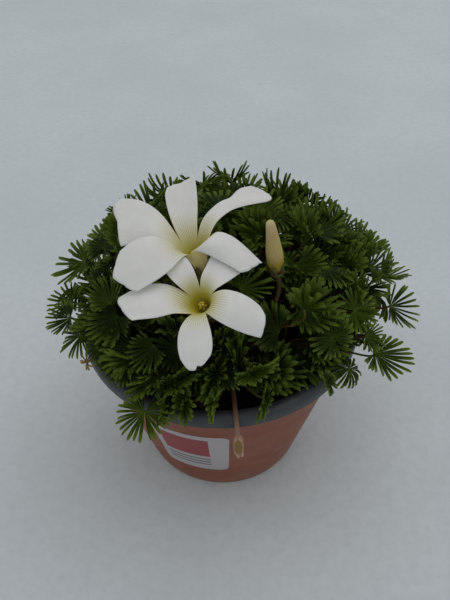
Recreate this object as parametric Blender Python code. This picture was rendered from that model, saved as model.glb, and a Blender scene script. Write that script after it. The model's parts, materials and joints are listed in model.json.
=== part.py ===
"""A potted oxalis: a low mound of fan-shaped leaves, two white flowers and a bud, in a round nursery pot.

Metres, +Z up. The origin is the centre of the pot's underside, and the front faces -Y.
The hand-placed lists below are in millimetres, and mm() turns them into metres.
"""

import math
import random
from dataclasses import dataclass

import bmesh
import bpy
from mathutils import Matrix, Vector
from mathutils.bvhtree import BVHTree

MM = 0.001
UP = Vector((0, 0, 1))
CLEARANCE = 0.35 * MM

# The pot: a thin tapered wall with a thick rolled lip, and a foot ring round a raised floor.
POT_HEIGHT = 70.0 * MM
LIP_RADIUS = 52.5 * MM
LIP_WIDTH = 4.1 * MM
LIP_DROP = 5.2 * MM
WALL = 1.2 * MM
WALL_TOP_RADIUS = 49.4 * MM
BASE_RADIUS = 32.4 * MM
FLOOR_TOP = 3.7 * MM
FLOOR_RECESS = 2.4 * MM
FOOT_WIDTH = 3.2 * MM
CENTRE_PAD_RADIUS = 9.0 * MM
ROUND_SIDES = 38
DRAIN_HOLES = 6
DRAIN_RADIUS = 2.4 * MM
DRAIN_RING_RADIUS = 19.0 * MM
# Turns the holes off the pot's own facet edges.
DRAIN_TURN = math.radians(33)
FOOT_NOTCHES = 6
FOOT_NOTCH_WIDTH = 4.0 * MM
FOOT_NOTCH_HEIGHT = 1.3 * MM

# The soil: a plug that fills the pot, a little higher in the middle.
SOIL_EDGE = 59.6 * MM
SOIL_CROWNING = 1.6 * MM

# The crowns: short buds in holes in the soil, from which the leaf stalks rise.
CROWN_COUNT = 21
CROWN_SPREAD = 37.5 * MM
CROWN_RADIUS = 2.3 * MM
CROWN_DEPTH = 6.0 * MM
CROWN_RISE = 3.4 * MM
CROWN_SIDES = 6
GOLDEN_ANGLE = math.radians(137.508)

# The leaves: a thin arched disc cut into pointed leaflets, on a three-sided stalk.
LEAFLETS = 10
LEAF_THICKNESS = 0.7 * MM
NOTCH_SHARE = 0.42
STALK_RADIUS = 0.75 * MM
STALK_STEPS = 3
STALK_SIDES = 3
LEAVES_PER_CROWN = 6
LOWEST_LEAF = SOIL_EDGE + 3.0 * MM
TRIES = 34

# The mound that the leaves' centres lie on: half an ellipsoid, in three shells.
MOUND_CENTRE = Vector((4.0, 4.0, 66.0)) * MM
MOUND_RADII = Vector((56.0, 50.0, 44.0)) * MM
# Each shell: its share of the mound's size, its number of sites, the smallest and largest leaf.
SHELLS = ((1.0, 82, 8.8, 11.8), (0.8, 34, 8.0, 10.5), (0.6, 10, 7.0, 9.0))
# Above 1, this sets more of the leaves low on the mound.
LOW_LEAF_SHARE = 1.15
# A leaf faces partly away from the mound's centre and mostly up, and is turned at random by up to the last value.
FACE_OUT, FACE_UP, FACE_TURN = 0.48, 0.62, 0.42
SITE_TURN = 0.06
LEAF_BENDS = (-48, -36, -26, -14, 16, 36, 60)
SEED = 41

# Leaves placed one by one: centre x, y, z, radius, bend, and the bearing and rise of the way it faces.
PLACED_LEAVES = (
    (66.0, -9.0, 77.5, 9.4, -20, -42, 54),
    (58.0, -31.5, 75.0, 9.2, -14, -60, 76),
    (52.0, -26.5, 79.0, 6.6, -20, -40, 56),
    (-25.5, -54.5, 75.5, 9.2, 12, -95, 75),
    (21.5, -37.5, 75.0, 8.4, -18, -82, 64),
    (44.3, -36.5, 74.5, 7.6, 70, -50, 55),
    (31.0, -42.5, 74.5, 5.2, 95, -85, 40),
    (-12.0, -51.0, 76.0, 7.4, 82, -100, 55),
    (-2.0, -50.0, 75.0, 7.6, 95, -100, 50),
    (12.0, -50.5, 75.5, 7.8, 100, -78, 48),
    (-54.5, 8.5, 86.0, 10.0, -18, -160, 62),
    (-57.3, -3.0, 78.0, 8.0, -16, -155, 58),
    (-55.7, -11.0, 78.0, 7.8, -20, -150, 56),
    (-51.0, -20.0, 76.0, 7.8, 18, -140, 62),
    (-45.0, -26.0, 75.5, 6.4, 30, -130, 60),
    (-33.0, -36.0, 77.5, 7.0, 45, -120, 62),
    (-41.5, 20.0, 91.5, 9.8, -28, -165, 58),
    (-26.5, 31.0, 96.0, 10.6, -34, -110, 62),
    (59.0, 6.0, 85.0, 9.8, -22, -35, 52),
    (54.8, 19.0, 87.0, 9.2, -26, -20, 55),
    (57.0, -3.0, 77.0, 7.6, -24, -50, 46),
    (47.0, -28.0, 77.5, 9.0, 24, -60, 60),
    (-33.0, -32.0, 81.0, 9.6, -18, -120, 55),
    (-21.0, -42.0, 77.5, 9.0, 55, -100, 50),
    (-8.0, -43.5, 80.0, 8.6, 70, -110, 50),
    (0.5, -41.0, 85.0, 9.2, 60, -130, 45),
    (9.5, -43.5, 79.5, 8.6, 45, -130, 45),
    (36.0, -30.0, 82.5, 9.8, -22, -70, 60),
    (27.5, -36.0, 85.0, 9.0, 50, -60, 55),
    (-15.0, -34.5, 87.0, 9.8, 38, -100, 55),
    (8.0, -35.5, 89.0, 9.4, 45, -80, 55),
    (17.0, -31.5, 91.0, 9.6, -24, -70, 60),
    (-36.0, -24.5, 86.5, 10.2, -26, -135, 60),
)

# The flowers: a five-petalled funnel on a calyx, where two petals part at each bearing round its mouth.
# Each petal is drawn by three lines from the mouth: its first edge, its rib and its second edge,
# anticlockwise, each through a middle point to an end point.
FLOWERS = {
    "flower_upper": {
        "throat": (-8.0, -23.6, 122.2),
        "calyx": (-4.6, -26.1, 110.4),
        "sinuses": (5, 77, 148, 203, 252),
        "petals": (
            (
                (3.6, -17.1, 127.8), (14.3, -13.5, 128.7),
                (1.8, -14.3, 128.5), (16.4, -11.7, 129.1),
                (-0.4, -12.7, 127.3), (11.0, -8.3, 131.2),
            ),
            (
                (-6.2, -11.7, 127.6), (-7.0, -5.3, 133.0),
                (-11.3, -11.9, 126.7), (-11.5, -5.7, 131.1),
                (-15.9, -12.4, 127.6), (-15.7, -7.7, 130.4),
            ),
            (
                (-20.6, -13.8, 128.3), (-30.7, -11.6, 129.2),
                (-22.0, -19.2, 126.2), (-31.0, -17.9, 125.4),
                (-21.4, -24.8, 122.4), (-29.5, -24.5, 121.3),
            ),
            (
                (-21.7, -25.4, 125.3), (-29.8, -27.8, 121.5),
                (-20.6, -31.6, 122.5), (-30.9, -34.7, 117.7),
                (-14.8, -35.0, 119.5), (-24.1, -39.0, 115.5),
            ),
            (
                (-2.1, -30.9, 121.8), (6.5, -34.6, 117.9),
                (-0.2, -29.3, 125.0), (10.1, -32.8, 118.3),
                (3.7, -24.4, 124.3), (12.9, -30.1, 118.3),
            ),
        ),
    },
    "flower_lower": {
        "throat": (-6.7, -41.2, 113.9),
        "calyx": (-3.8, -37.4, 105.1),
        "sinuses": (299, 382, 443, 500, 602),
        "petals": (
            (
                (3.4, -49.0, 109.2), (11.6, -49.9, 106.1),
                (5.3, -45.2, 113.3), (13.3, -46.9, 109.3),
                (5.7, -40.1, 115.1), (12.8, -42.6, 110.9),
            ),
            (
                (2.2, -37.0, 116.2), (6.8, -33.4, 117.1),
                (-0.1, -33.5, 118.4), (4.5, -29.4, 119.9),
                (-3.7, -32.4, 119.2), (-0.9, -27.2, 121.5),
            ),
            (
                (-7.9, -32.5, 119.3), (-10.3, -29.4, 120.6),
                (-11.1, -33.4, 118.6), (-13.2, -29.6, 120.4),
                (-14.1, -35.7, 116.9), (-17.1, -31.5, 118.4),
            ),
            (
                (-20.2, -35.2, 114.8), (-30.0, -38.4, 112.3),
                (-19.3, -40.5, 113.9), (-29.1, -42.0, 111.6),
                (-16.6, -44.5, 111.8), (-26.1, -45.7, 110.5),
            ),
            (
                (-12.2, -51.0, 107.9), (-11.2, -56.0, 102.8),
                (-7.3, -52.3, 107.9), (-7.2, -58.1, 101.7),
                (-2.2, -51.7, 107.1), (-3.4, -55.5, 103.3),
            ),
        ),
    },
}
PETALS = 5
PETAL_END_ROUNDING = 0.03
PETAL_ROWS = 4
PETAL_COLUMNS = 4
PETAL_THICKNESS = 0.7 * MM
TUBE_ROWS = 3
TUBE_BASE_RADIUS = 1.5 * MM
TUBE_MOUTH_RADIUS = 5.2 * MM
FLOWER_STALK_RADIUS = 0.8 * MM
FLOWER_STALK_SIDES = 6
SEPALS = 5
SEPAL_LENGTH = 5.0 * MM
# Where each flower's stalk leaves the soil, and a point that it bends through.
STALK_ROUTES = {
    "flower_upper": ((-1.5, -16.5), (-3.6, -21.5, 92.0)),
    "flower_lower": ((-9.0, -23.0), (-6.0, -27.0, 88.0)),
    "bud": ((14.5, -17.0), (18.0, -24.0, 92.0)),
}
STALK_ROOT_DEPTH = 8.0 * MM

BUD_BASE = (18.5, -25.0, 110.4)
BUD_TIP = (15.7, -25.0, 129.8)
# The bud's outline: share of its length and radius in millimetres.
BUD_OUTLINE = ((0.0, 1.3), (0.1, 2.3), (0.28, 2.7), (0.6, 2.2), (0.85, 1.6), (0.97, 1.3), (1.0, 0.8))
BUD_SIDES = 8
STAMEN_SIDES = 8
CALYX_SIDES = 8
BUD_SEPAL_LENGTH = 4.0 * MM

# The spent flower: from its root over the lip at the front and down, point and radius in millimetres.
SPENT_ROOT = (3.0, -31.0)
SPENT_ROUTE = (
    (3.4, -36.0, 70.0, 0.8),
    (3.9, -43.0, 72.6, 0.8),
    (4.4, -50.0, 72.2, 0.8),
    (4.8, -54.0, 69.4, 0.8),
    (5.0, -54.9, 65.0, 0.85),
    (5.2, -55.0, 62.6, 1.5),
    (5.4, -54.9, 58.5, 1.7),
    (5.6, -54.6, 54.4, 1.2),
    (5.9, -54.2, 50.4, 0.6),
)
SPENT_SIDES = 6

# Two dead leaves on their stalks: crown x, y, then centre x, y, z, radius, bend, bearing and rise.
WITHERED_LEAVES = {
    "withered_leaf_left": ((-33.0, -13.0), (-47.0, -29.5, 73.5, 3.6, 140, 215, 5)),
    "withered_leaf_right": ((36.5, 2.5), (50.5, 3.5, 76.0, 7.0, 140, -30, 8)),
}
WITHERED_CROWN_RADIUS = 1.3 * MM

# Colours: linear red, green, blue, then roughness.
COLOURS = {
    "pot": (0.17, 0.065, 0.042, 0.55),
    "soil": (0.008, 0.007, 0.005, 0.95),
    "leaf": (0.035, 0.085, 0.012, 0.5),
    "petal": (0.78, 0.76, 0.72, 0.55),
    "stamen": (0.6, 0.42, 0.04, 0.6),
    "stalk": (0.12, 0.09, 0.025, 0.6),
    "bud": (0.55, 0.42, 0.2, 0.55),
    "withered": (0.3, 0.19, 0.06, 0.8),
}


@dataclass
class Leaf:
    """A leaf: its blade's centre and the way it faces, and the crown and curve of its stalk."""

    centre: Vector
    facing: Vector
    radius: float
    bend: float
    spin: float
    crown: int
    stalk: tuple


def mm(values):
    return Vector(values) * MM


def clear_scene():
    for obj in list(bpy.data.objects):
        bpy.data.objects.remove(obj, do_unlink=True)


def make_material(name):
    *colour, roughness = COLOURS[name]
    material = bpy.data.materials.new(name)
    material.use_nodes = True
    shader = material.node_tree.nodes["Principled BSDF"]
    shader.inputs["Base Color"].default_value = (*colour, 1)
    shader.inputs["Roughness"].default_value = roughness
    shader.inputs["Metallic"].default_value = 0
    return material


def mesh_object(name, points, faces, material, collection=None):
    """An object from points and faces, its faces turned outwards."""
    mesh = bpy.data.meshes.new(name)
    mesh.from_pydata([tuple(p) for p in points], [], faces)
    edit = bmesh.new()
    edit.from_mesh(mesh)
    bmesh.ops.recalc_face_normals(edit, faces=edit.faces)
    edit.to_mesh(mesh)
    edit.free()
    mesh.materials.append(material)
    obj = bpy.data.objects.new(name, mesh)
    (collection or bpy.context.scene.collection).objects.link(obj)
    return obj


def make_helper(obj):
    """Sets an object to cut or guide only."""
    obj.hide_render = True
    obj.display_type = "WIRE"
    return obj


def shade_round(obj, sharp_degrees=35):
    obj.data.shade_smooth()
    obj.data.set_sharp_from_angle(angle=math.radians(sharp_degrees))


def turned(profile, sides, axis=UP, origin=Vector(), first_angle=0.0):
    """Points and faces of a closed turned shape. The profile's radii and heights run from end to end."""
    across, beside = cross_axes(axis)
    points, faces, rings = [], [], []
    for radius, height in profile:
        ring = []
        for side in range(sides if radius > 0 else 1):
            angle = first_angle + math.tau * side / sides
            spoke = across * math.cos(angle) + beside * math.sin(angle)
            ring.append(len(points))
            points.append(origin + axis * height + spoke * radius)
        rings.append(ring)
    for low, high in zip(rings, rings[1:]):
        faces += joined_rings(low, high)
    for ring in (rings[0], rings[-1]):
        if len(ring) > 1:
            faces.append(tuple(ring))
    return points, faces


def joined_rings(low, high):
    """Faces between two rings of points, where either may be a single point."""
    count = max(len(low), len(high))
    faces = []
    for side in range(count):
        corners = [
            low[side % len(low)],
            low[(side + 1) % len(low)],
            high[(side + 1) % len(high)],
            high[side % len(high)],
        ]
        faces.append(tuple(dict.fromkeys(corners)))
    return faces


def cross_axes(axis):
    """Two directions square to an axis and to each other, the first as near +X as it can be."""
    guide = Vector((1, 0, 0)) if abs(axis.x) < 0.9 else Vector((0, 1, 0))
    across = (guide - axis * guide.dot(axis)).normalized()
    return across, axis.cross(across)


def bezier(control, t):
    """A point on the Bezier curve of any number of control points."""
    points = [Vector(p) for p in control]
    while len(points) > 1:
        points = [a.lerp(b, t) for a, b in zip(points, points[1:])]
    return points[0]


def swept(route, radii, sides, across):
    """Rings of points along a route, turned as little as possible from one to the next."""
    rings = []
    for index, (place, radius) in enumerate(zip(route, radii)):
        ahead = route[min(index + 1, len(route) - 1)] - route[max(index - 1, 0)]
        ahead.normalize()
        across = (across - ahead * across.dot(ahead)).normalized()
        beside = ahead.cross(across)
        ring = []
        for side in range(sides):
            angle = math.tau * side / sides
            ring.append(place + (across * math.cos(angle) + beside * math.sin(angle)) * radius)
        rings.append(ring)
    return rings


def swept_solid(route, radii, sides, across=Vector((1, 0, 0))):
    rings = swept(route, radii, sides, across)
    points = [p for ring in rings for p in ring]
    index = [[i * sides + j for j in range(sides)] for i in range(len(rings))]
    faces = [tuple(index[0]), tuple(index[-1])]
    for low, high in zip(index, index[1:]):
        faces += joined_rings(low, high)
    return points, faces


def smooth_route(places, per_span):
    """Points on the smooth curve through the given places."""
    ends = [places[0] * 2 - places[1]] + list(places) + [places[-1] * 2 - places[-2]]
    route = []
    for before, start, end, after in zip(ends, ends[1:], ends[2:], ends[3:]):
        control = (start, start + (end - before) / 6, end - (after - start) / 6, end)
        route += [bezier(control, step / per_span) for step in range(per_span)]
    return route + [places[-1]]


def keep_evaluated(obj):
    """Replaces an object's mesh by what its modifiers make of it."""
    graph = bpy.context.evaluated_depsgraph_get()
    made = bpy.data.meshes.new_from_object(obj.evaluated_get(graph), depsgraph=graph)
    obj.modifiers.clear()
    obj.data = made


def fuse(obj, shapes, solver="MANIFOLD"):
    """Joins shapes, given as points and faces, to an object by one Boolean union."""
    group = bpy.data.collections.new(obj.name + "_pieces")
    bpy.context.scene.collection.children.link(group)
    material = obj.data.materials[0]
    for number, (points, faces) in enumerate(shapes):
        mesh_object(f"{obj.name}_piece_{number}", points, faces, material, group)
    union = obj.modifiers.new("fuse", "BOOLEAN")
    union.operation = "UNION"
    union.operand_type = "COLLECTION"
    union.collection = group
    union.solver = solver
    keep_evaluated(obj)
    for piece in list(group.objects):
        bpy.data.objects.remove(piece, do_unlink=True)
    bpy.data.collections.remove(group)


def cut(obj, cutter, name):
    difference = obj.modifiers.new(name, "BOOLEAN")
    difference.operation = "DIFFERENCE"
    difference.object = make_helper(cutter)


def wall_radius(height):
    """The outer radius of the pot's wall at a height."""
    share = height / (POT_HEIGHT - LIP_DROP)
    return BASE_RADIUS + (WALL_TOP_RADIUS - BASE_RADIUS) * share


def soil_radius(height):
    return wall_radius(height) - WALL - CLEARANCE


def soil_height(x, y):
    share = math.hypot(x, y) / soil_radius(SOIL_EDGE)
    return SOIL_EDGE + SOIL_CROWNING * (1 - share * share)


def make_pot(material):
    lip_bottom = POT_HEIGHT - LIP_DROP
    inner_lip = LIP_RADIUS - LIP_WIDTH
    foot_inner = BASE_RADIUS - FOOT_WIDTH
    pad_edge = CENTRE_PAD_RADIUS
    profile = (
        (0, FLOOR_TOP),
        (wall_radius(FLOOR_TOP) - WALL - 1.0 * MM, FLOOR_TOP),
        (wall_radius(FLOOR_TOP + 1.0 * MM) - WALL, FLOOR_TOP + 1.0 * MM),
        (wall_radius(lip_bottom) - WALL, lip_bottom),
        (inner_lip, POT_HEIGHT - 0.4 * MM),
        (inner_lip + 0.7 * MM, POT_HEIGHT),
        (LIP_RADIUS - 1.3 * MM, POT_HEIGHT - 0.3 * MM),
        (LIP_RADIUS - 0.3 * MM, POT_HEIGHT - 1.2 * MM),
        (LIP_RADIUS, POT_HEIGHT - 2.4 * MM),
        (LIP_RADIUS, lip_bottom + 0.3 * MM),
        (LIP_RADIUS - 0.4 * MM, lip_bottom),
        (wall_radius(lip_bottom), lip_bottom),
        (wall_radius(1.0 * MM), 1.0 * MM),
        (BASE_RADIUS - 0.6 * MM, 0),
        (foot_inner, 0),
        (foot_inner - 0.6 * MM, FLOOR_RECESS),
        (pad_edge + 0.8 * MM, FLOOR_RECESS),
        (pad_edge, 0),
        (0, 0),
    )
    points, faces = turned(profile, ROUND_SIDES)
    pot = mesh_object("pot", points, faces, material)
    holes = []
    for number in range(DRAIN_HOLES):
        angle = math.tau * number / DRAIN_HOLES + DRAIN_TURN
        place = Vector((math.cos(angle), math.sin(angle), 0)) * DRAIN_RING_RADIUS
        outline = ((DRAIN_RADIUS, -2 * MM), (DRAIN_RADIUS, FLOOR_TOP + 2 * MM))
        holes.append(turned(outline, 8, origin=place))
    cut(pot, joined_object("drain_holes", holes, material), "drain_holes")
    notches = []
    for number in range(FOOT_NOTCHES):
        angle = math.tau * number / FOOT_NOTCHES
        notches.append(foot_notch(angle))
    cut(pot, joined_object("foot_notches", notches, material), "foot_notches")
    shade_round(pot)
    return pot


def foot_notch(angle):
    """A low arch across the foot ring, as points and faces."""
    outward = Vector((math.cos(angle), math.sin(angle), 0))
    beside = Vector((-outward.y, outward.x, 0))
    half = FOOT_NOTCH_WIDTH / 2
    outline = (
        (-half, -1 * MM),
        (half, -1 * MM),
        (half * 0.7, FOOT_NOTCH_HEIGHT),
        (-half * 0.7, FOOT_NOTCH_HEIGHT),
    )
    points = []
    for reach in (BASE_RADIUS - FOOT_WIDTH - 3 * MM, BASE_RADIUS + 3 * MM):
        points += [outward * reach + beside * x + UP * z for x, z in outline]
    faces = [(0, 1, 2, 3), (4, 5, 6, 7)] + joined_rings([0, 1, 2, 3], [4, 5, 6, 7])
    return points, faces


def joined_object(name, shapes, material):
    """One object that holds several closed shapes, as a cutter."""
    points, faces = [], []
    for shape_points, shape_faces in shapes:
        first = len(points)
        points += shape_points
        faces += [tuple(first + i for i in face) for face in shape_faces]
    return mesh_object(name, points, faces, material)


def make_soil(material, roots):
    """The soil, with a plain hole for each root: x, y, depth and radius."""
    bottom = FLOOR_TOP + CLEARANCE
    edge = soil_radius(SOIL_EDGE)
    profile = [(0, bottom), (soil_radius(bottom) - 1.2 * MM, bottom)]
    profile += [(soil_radius(bottom + 1.4 * MM), bottom + 1.4 * MM), (edge, SOIL_EDGE)]
    profile += [(edge * share, soil_height(edge * share, 0)) for share in (0.6, 0)]
    points, faces = turned(profile, ROUND_SIDES)
    soil = mesh_object("potting_soil", points, faces, material)
    holes = []
    for x, y, depth, radius in roots:
        top = soil_height(x, y)
        outline = ((radius, top - depth - CLEARANCE), (radius, top + 4 * MM))
        holes.append(turned(outline, CROWN_SIDES, origin=Vector((x, y, 0))))
    cut(soil, joined_object("root_holes", holes, material), "root_holes")
    keep_evaluated(soil)
    bpy.data.objects.remove(bpy.data.objects["root_holes"], do_unlink=True)
    return soil


def leaf_axes(leaf):
    across, beside = cross_axes(leaf.facing)
    turn = Matrix.Rotation(leaf.spin, 3, leaf.facing)
    return turn @ across, turn @ beside


def blade_point(leaf, axes, share, angle, offset, length):
    """A point on a leaflet's arc, a share of the way out along it and a little above or below."""
    slope = leaf.bend * share
    if abs(leaf.bend) < 1e-4:
        reach, fall = length * share, 0.0
    else:
        reach = length * math.sin(slope) / leaf.bend
        fall = length * (1 - math.cos(slope)) / leaf.bend
    reach += offset * math.sin(slope)
    spoke = axes[0] * math.cos(angle) + axes[1] * math.sin(angle)
    return leaf.centre + spoke * reach + leaf.facing * (offset * math.cos(slope) - fall)


def leaf_shape(leaf, grow=0.0):
    """Points, blade faces and stalk faces of a leaf, made thicker all over by grow."""
    axes = leaf_axes(leaf)
    half = LEAF_THICKNESS / 2 + grow
    notch = NOTCH_SHARE + 2.2 * grow / leaf.radius
    length = leaf.radius + 3 * grow
    points = [leaf.centre + leaf.facing * half]
    outlines = []
    for offset in (half, -half):
        outline = []
        for step in range(2 * LEAFLETS):
            share = notch if step % 2 else 1.0
            angle = math.pi * step / LEAFLETS
            outline.append(len(points))
            points.append(blade_point(leaf, axes, share, angle, offset, length))
        outlines.append(outline)
    top, bottom = outlines
    blade = []
    for step in range(1, 2 * LEAFLETS, 2):
        ahead, tip = (step + 2) % (2 * LEAFLETS), (step + 1) % (2 * LEAFLETS)
        blade.append((0, top[step], top[ahead]))
        blade.append((top[step], top[tip], top[ahead]))
        blade.append((bottom[step], bottom[ahead], bottom[tip]))
    for step in range(2 * LEAFLETS):
        after = (step + 1) % (2 * LEAFLETS)
        blade.append((bottom[step], bottom[after], top[after], top[step]))

    stalk_radius = STALK_RADIUS + 2 * grow
    route = [bezier(leaf.stalk, step / STALK_STEPS) for step in range(STALK_STEPS + 1)]
    route[0] = leaf.centre - leaf.facing * half
    rings = swept(route[1:], [stalk_radius] * STALK_STEPS, STALK_SIDES, axes[0])
    seat = []
    for side in range(STALK_SIDES):
        angle = math.tau * side / STALK_SIDES
        spoke = axes[0] * math.cos(angle) + axes[1] * math.sin(angle)
        seat.append(len(points))
        points.append(route[0] + spoke * stalk_radius)
    blade += ring_between([bottom[i] for i in range(1, 2 * LEAFLETS, 2)], seat)
    stalk, above = [], seat
    for ring in rings:
        below = list(range(len(points), len(points) + STALK_SIDES))
        points += ring_like(points, above, ring)
        stalk += joined_rings(above, below)
        above = below
    stalk.append(tuple(above))
    return points, blade, stalk


def ring_like(points, above, ring):
    """The ring in the order that lies nearest to the ring above, so that the faces between don't twist."""
    orders = []
    for turn in range(len(ring)):
        for way in (1, -1):
            order = [ring[(turn + way * i) % len(ring)] for i in range(len(ring))]
            orders.append((sum((points[a] - p).length for a, p in zip(above, order)), order))
    return min(orders, key=lambda pair: pair[0])[1]


def ring_between(outer, inner):
    """Triangles between an outer ring of many points and an inner ring of few, both in turning order.

    The outer ring's first point lies just past the inner ring's first point.
    """
    faces = []
    used = 0
    for step in range(len(outer)):
        after = (step + 1) % len(outer)
        middle = (step + 1) / len(outer) * len(inner)
        if middle > used + 0.5 and used < len(inner):
            faces.append((outer[step], inner[used % len(inner)], inner[(used + 1) % len(inner)]))
            used += 1
        faces.append((outer[step], inner[used % len(inner)], outer[after]))
    return faces


def crown_places():
    places = []
    for number in range(CROWN_COUNT):
        reach = CROWN_SPREAD * math.sqrt((number + 0.4) / CROWN_COUNT)
        angle = number * GOLDEN_ANGLE + 0.5
        places.append((reach * math.cos(angle), reach * math.sin(angle) - 2.0 * MM))
    return places


def crown_shape(x, y, radius):
    top = soil_height(x, y)
    profile = (
        (radius, top - CROWN_DEPTH),
        (radius, top + CROWN_RISE * 0.5),
        (radius * 0.6, top + CROWN_RISE),
    )
    return turned(profile, CROWN_SIDES, origin=Vector((x, y, 0)))


def stalk_curve(centre, facing, place, rng, loose):
    """The leaf stalk's control points, from the leaf down to its crown at place."""
    x, y = place
    foot = Vector((x, y, soil_height(x, y) + CROWN_RISE * 0.3))
    away = Vector((centre.x - x, centre.y - y, 0))
    away = away.normalized() if away.length > 1e-6 else Vector((1, 0, 0))
    foot += away * 0.7 * MM
    length = (centre - foot).length
    rise = UP * rng.uniform(0.32, 0.5) + away * rng.uniform(0.0, 0.12)
    side = Vector((-away.y, away.x, 0)) * rng.uniform(-0.08, 0.08) * (1 + loose)
    back = (-facing * 0.8 + (foot - centre).normalized() * rng.uniform(0.2, 0.7)).normalized()
    reach = length * rng.uniform(0.2, 0.34)
    return (centre, centre + back * reach, foot + (rise + side) * length, foot)


def facing_from(bearing, rise):
    flat = math.cos(rise)
    return Vector((math.cos(bearing) * flat, math.sin(bearing) * flat, math.sin(rise)))


def random_way(rng, most):
    return Vector([rng.uniform(-most, most) for _ in range(3)])


class Placer:
    """Keeps what stands already, and finds each new leaf a place clear of it."""

    def __init__(self, obstacles, crowns, crown_radius):
        self.fixed = obstacles
        self.crowns = crowns
        self.crown_trees = []
        for x, y in crowns:
            points, faces = crown_shape(x, y, crown_radius)
            self.crown_trees.append(BVHTree.FromPolygons(points, faces))
        self.leaves = []
        self.grown = []

    def is_clear(self, leaf):
        if leaf.centre.z < LOWEST_LEAF:
            return False
        points, blade, stalk = leaf_shape(leaf, CLEARANCE)
        blade_tree = BVHTree.FromPolygons(points, blade)
        stalk_tree = BVHTree.FromPolygons(points, stalk)
        if any(tree.overlap(blade_tree) or tree.overlap(stalk_tree) for tree in self.fixed):
            return False
        for number, tree in enumerate(self.crown_trees):
            if tree.overlap(blade_tree):
                return False
            if number != leaf.crown and tree.overlap(stalk_tree):
                return False
        for other, other_blade, other_stalk in self.grown:
            if other_blade.overlap(blade_tree) or other_blade.overlap(stalk_tree):
                return False
            if other_stalk.overlap(blade_tree):
                return False
            if other.crown != leaf.crown and other_stalk.overlap(stalk_tree):
                return False
        return True

    def keep(self, leaf):
        points, blade, stalk = leaf_shape(leaf)
        trees = (BVHTree.FromPolygons(points, blade), BVHTree.FromPolygons(points, stalk))
        self.grown.append((leaf, *trees))
        self.leaves.append(leaf)

    def room_at(self, crown):
        return sum(leaf.crown == crown for leaf in self.leaves) < LEAVES_PER_CROWN

    def near_crowns(self, centre):
        """The crowns with room, nearest first to the point below where the leaf leans from."""
        x, y = centre.x * 0.6, centre.y * 0.6
        free = [i for i in range(len(self.crowns)) if self.room_at(i)]
        return sorted(free, key=lambda i: math.dist(self.crowns[i], (x, y)))

    def settle(self, centre, facing, radius, bend, rng):
        """Tries a leaf where it is wanted, then a little off, and keeps the first that is clear."""
        crowns = self.near_crowns(centre)
        for attempt in range(TRIES):
            if not crowns:
                return
            loose = attempt / TRIES
            shift = Vector([rng.gauss(0, 1) for _ in range(3)]) * (3.5 * MM * loose)
            tilt = Vector([rng.gauss(0, 1) for _ in range(3)]) * (0.3 * loose)
            place = centre + shift
            faces = (facing + tilt).normalized()
            crown = crowns[attempt % min(3, len(crowns))]
            stalk = stalk_curve(place, faces, self.crowns[crown], rng, loose)
            size = radius * (1 - 0.22 * loose)
            leaf = Leaf(place, faces, size, bend, rng.uniform(0, math.tau), crown, stalk)
            if self.is_clear(leaf):
                self.keep(leaf)
                return


def mound_sites():
    """Where leaves are wanted on the mound: centre, facing, radius and bend, the outer shell first."""
    for share, count, smallest, largest in SHELLS:
        for number in range(count):
            rng = random.Random(f"{SEED} site {share} {number}")
            height = (number + 0.5) / count
            rise = math.asin(height ** LOW_LEAF_SHARE)
            bearing = number * GOLDEN_ANGLE + 3 * share
            way = facing_from(bearing, rise)
            way += random_way(rng, SITE_TURN)
            spot = MOUND_CENTRE + Vector([w * r * share for w, r in zip(way, MOUND_RADII)])
            facing = way * FACE_OUT + UP * FACE_UP + random_way(rng, FACE_TURN)
            radius = rng.uniform(smallest, largest) * MM
            bend = math.radians(rng.choice(LEAF_BENDS))
            yield spot, facing.normalized(), radius, bend, rng


def grow_leaves(obstacles):
    placer = Placer(obstacles, crown_places(), CROWN_RADIUS)
    for number, (x, y, z, radius, bend, bearing, rise) in enumerate(PLACED_LEAVES):
        rng = random.Random(f"{SEED} placed {number}")
        facing = facing_from(math.radians(bearing), math.radians(rise))
        placer.settle(mm((x, y, z)), facing, radius * MM, math.radians(bend), rng)
    for spot, facing, radius, bend, rng in mound_sites():
        placer.settle(spot, facing, radius, bend, rng)
    return placer.leaves


def make_tufts(leaves, material):
    for crown, (x, y) in enumerate(crown_places()):
        own = [leaf for leaf in leaves if leaf.crown == crown]
        if not own:
            continue
        points, faces = crown_shape(x, y, CROWN_RADIUS)
        tuft = mesh_object(f"leaf_tuft_{crown + 1:02d}", points, faces, material)
        fuse(tuft, [closed_leaf(leaf) for leaf in own])


def closed_leaf(leaf):
    points, blade, stalk = leaf_shape(leaf)
    return points, blade + stalk


def withered_leaf(name):
    """A dead leaf's crown place and the leaf itself."""
    place, (x, y, z, radius, bend, bearing, rise) = WITHERED_LEAVES[name]
    rng = random.Random(f"{SEED} {name}")
    crown = (place[0] * MM, place[1] * MM)
    centre = mm((x, y, z))
    facing = facing_from(math.radians(bearing), math.radians(rise))
    foot = Vector((*crown, soil_height(*crown) + CROWN_RISE * 0.3))
    over = Vector(((foot.x + centre.x) / 2, (foot.y + centre.y) / 2, centre.z + 4 * MM))
    stalk = (centre, centre - facing * 3 * MM, over, foot + UP * 6 * MM, foot)
    return crown, Leaf(centre, facing, radius * MM, math.radians(bend), rng.uniform(0, 1), 0, stalk)


def make_withered_leaf(name, material):
    (x, y), leaf = withered_leaf(name)
    points, faces = crown_shape(x, y, WITHERED_CROWN_RADIUS)
    node = mesh_object(name, points, faces, material)
    fuse(node, [closed_leaf(leaf)])
    return node


def flower_frame(flower):
    throat, calyx = mm(flower["throat"]), mm(flower["calyx"])
    axis = (throat - calyx).normalized()
    return throat, calyx, axis, *cross_axes(axis)


def tube_radius(share):
    """The funnel's radius a share of the way from the calyx to its mouth."""
    return TUBE_BASE_RADIUS + (TUBE_MOUTH_RADIUS - TUBE_BASE_RADIUS) * share ** 1.5


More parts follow.
